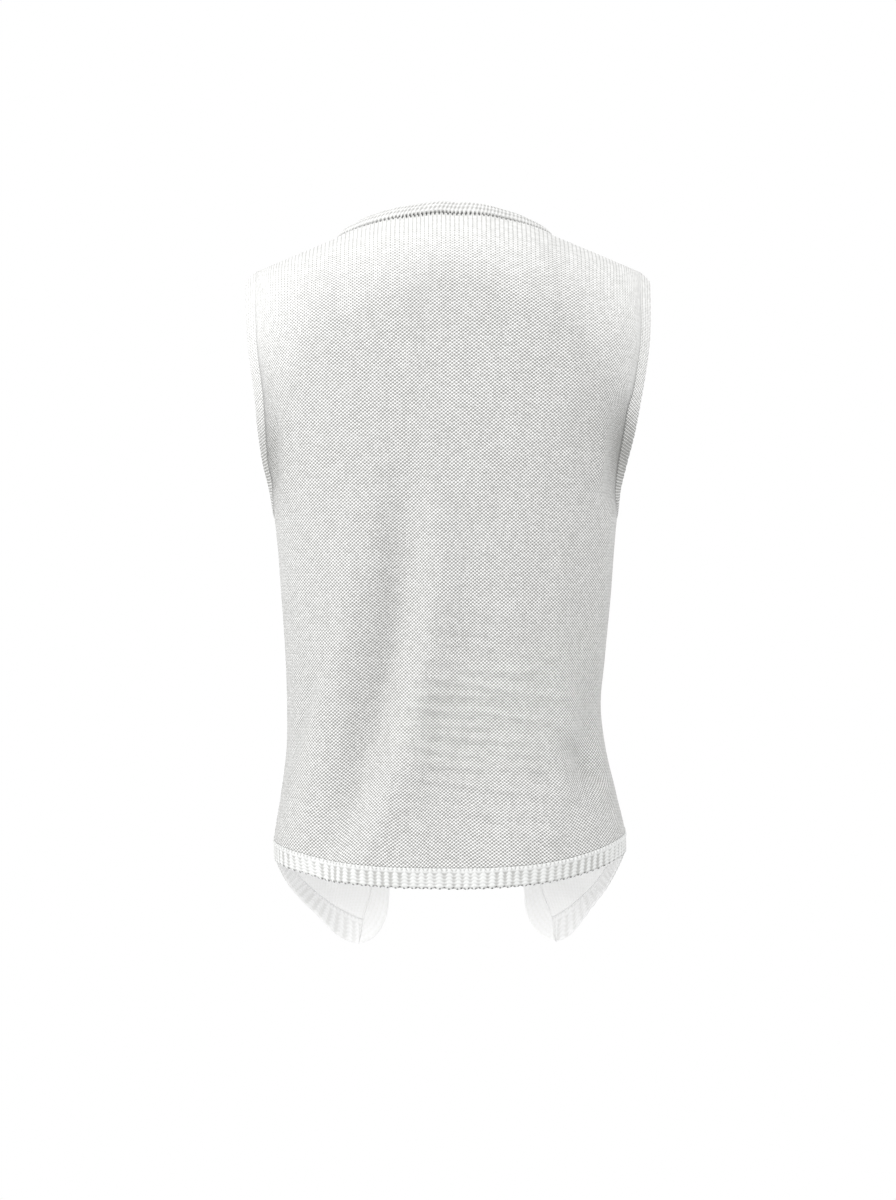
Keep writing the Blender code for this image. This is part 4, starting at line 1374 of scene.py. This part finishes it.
def rope_pattern(tree, across, up):
    """Slanted dashes in rows, in step with the modelled ones."""
    rows = NECK_CORDS * COURSE / NECK_BAND
    along = add(tree, "Math", {0: across, 1: WALE / NECK_STITCH}, operation="MULTIPLY").outputs[0]
    slanted = add(tree, "Math", {0: up, 1: SLANT * rows, 2: along}, operation="MULTIPLY_ADD").outputs[0]
    dash = {0: wave(tree, slanted), 1: DASH_HEIGHT, 2: DASH_TOP}
    dash = add(tree, "Math", dash, operation="MULTIPLY_ADD").outputs[0]
    cords = {0: wave(tree, up, rows), 1: ROW_DEPTH, 2: dash}
    return add(tree, "Math", cords, operation="MULTIPLY_ADD").outputs[0]


# linked cotton neck band: three rows of short slanted dashes, with grey painted shade where one loop passes
# the next
rope = knitted("cotton_linked_neck_cord", rope_pattern, RIB_DEPTH, BAND_FUZZ, ROPE_SHADE, ROPE_WHITE)

# %% Put the materials on
MATERIALS = {
    "back_panel": (purl_side, knit_side, "panel_knit"),
    "left_front": (purl_side, knit_side, "panel_knit"),
    "right_front": (purl_side, knit_side, "panel_knit"),
    "back_hem_band": (rib, rib, "rib_knit"),
    "left_hem_band": (rib, painted_light_rib_inside, "rib_knit"),
    "right_hem_band": (rib, painted_light_rib_inside, "rib_knit"),
    "left_front_band": (purl_side, knit_side, "rib_knit"),
    "right_front_band": (purl_side, knit_side, "rib_knit"),
    "left_armhole_band": (purl_side, knit_side, "rolled_knit"),
    "right_armhole_band": (purl_side, knit_side, "rolled_knit"),
    "neck_band": (rope, rope, "rolled_knit"),
}
for name, (outside, inside, _) in MATERIALS.items():
    pieces[name].data.materials.append(outside)
    pieces[name].data.materials.append(inside)
print("finishes:", sorted({face.name for row in MATERIALS.values() for face in row[:2]}))

# %% [markdown]
# ## Putting each piece on the body
#
# Each shell rides on the vest's one body and stands for its solid, which is hidden.

for name, piece in pieces.items():
    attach(piece, "root")
    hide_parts(name)

# %% [markdown]
# ## Floor, light and camera
#
# The vest floats in front of plain white with soft studio light: a bright even surround, and five
# large soft lamps on the camera's side. The strongest stands to the wearer's left, one is high on the
# right, and the others are faint, one beside the camera and one low at each side. The camera stands
# straight behind the vest, level with the upper waist, on a long lens.

# %% Camera
CAMERA_DISTANCE = 2.4
CAMERA_LEVEL = -0.312
VIEW_HEIGHT = 1.05
SENSOR = 36.0

lens = bpy.data.cameras.new("portrait_lens")
lens.sensor_width = SENSOR
lens.lens = SENSOR * CAMERA_DISTANCE / VIEW_HEIGHT
camera = bpy.data.objects.new("camera", lens)
camera.location = (0, CAMERA_DISTANCE, CAMERA_LEVEL)
camera.rotation_euler = (math.pi / 2, 0, math.pi)
bpy.context.scene.collection.objects.link(camera)
bpy.context.scene.camera = camera
print("the lens is", round(lens.lens), "mm long")

# %% Lamps
LAMP_COLUMNS = ("name", "turned", "raised", "strength")
LAMPS = (
    ("soft_key", 50, 16, 0.53),
    ("camera_fill", -20, 5, 0.08),
    ("high_fill", -55, 55, 0.24),
    ("left_edge", 85, -15, 0.10),
    ("right_edge", -88, -10, 0.10),
)
LAMP_DISTANCE = 3.0
LAMP_SIZE = 1.6
VEST_MIDDLE = Vector((0, 0, -0.3))

for row in LAMPS:
    lamp = dict(zip(LAMP_COLUMNS, row))
    turned, raised = math.radians(lamp["turned"]), math.radians(lamp["raised"])
    level_way = Vector((math.sin(turned), math.cos(turned), 0))
    way = level_way * math.cos(raised) + Vector((0, 0, math.sin(raised)))
    light = bpy.data.lights.new(lamp["name"], "AREA")
    light.size = LAMP_SIZE
    light.energy = lamp["strength"] * (math.pi * LAMP_DISTANCE) ** 2
    placed = bpy.data.objects.new(lamp["name"], light)
    placed.location = VEST_MIDDLE + way * LAMP_DISTANCE
    placed.rotation_euler = (-way).to_track_quat("-Z", "Y").to_euler()
    bpy.context.scene.collection.objects.link(placed)

# %% Surround and floor
SURROUND, SEEN_SURROUND = 0.79, 1.0
WHITE = (1, 1, 1, 1)
FLOOR_LEVEL, FLOOR_SIZE = -2.6, 8

world = bpy.data.worlds.new("white_studio")
world.use_nodes = True
tree = world.node_tree
tree.nodes.clear()
seen = add(tree, "LightPath").outputs["Is Camera Ray"]
ends = {"Value": seen, "To Min": SURROUND, "To Max": SEEN_SURROUND}
strength = add(tree, "MapRange", ends).outputs["Result"]
glow = add(tree, "Background", {"Color": WHITE, "Strength": strength})
add(tree, "OutputWorld", {"Surface": glow.outputs[0]})
bpy.context.scene.world = world
bpy.context.scene.view_settings.view_transform = "Standard"

bpy.ops.mesh.primitive_plane_add(size=FLOOR_SIZE, location=(0, 0, FLOOR_LEVEL))
floor = bpy.context.object
floor.name = "white_floor"
# white paper, lit evenly all over, so that it has no shade of its own
white = bpy.data.materials.new("matt_white_floor")
white.use_nodes = True
white.node_tree.nodes.clear()
plain = add(white.node_tree, "Emission", {"Color": WHITE, "Strength": 1.0})
add(white.node_tree, "OutputMaterial", {"Surface": plain.outputs[0]})
floor.data.materials.append(white)
print("lamps:", len(LAMPS), "and a surround of", SURROUND)
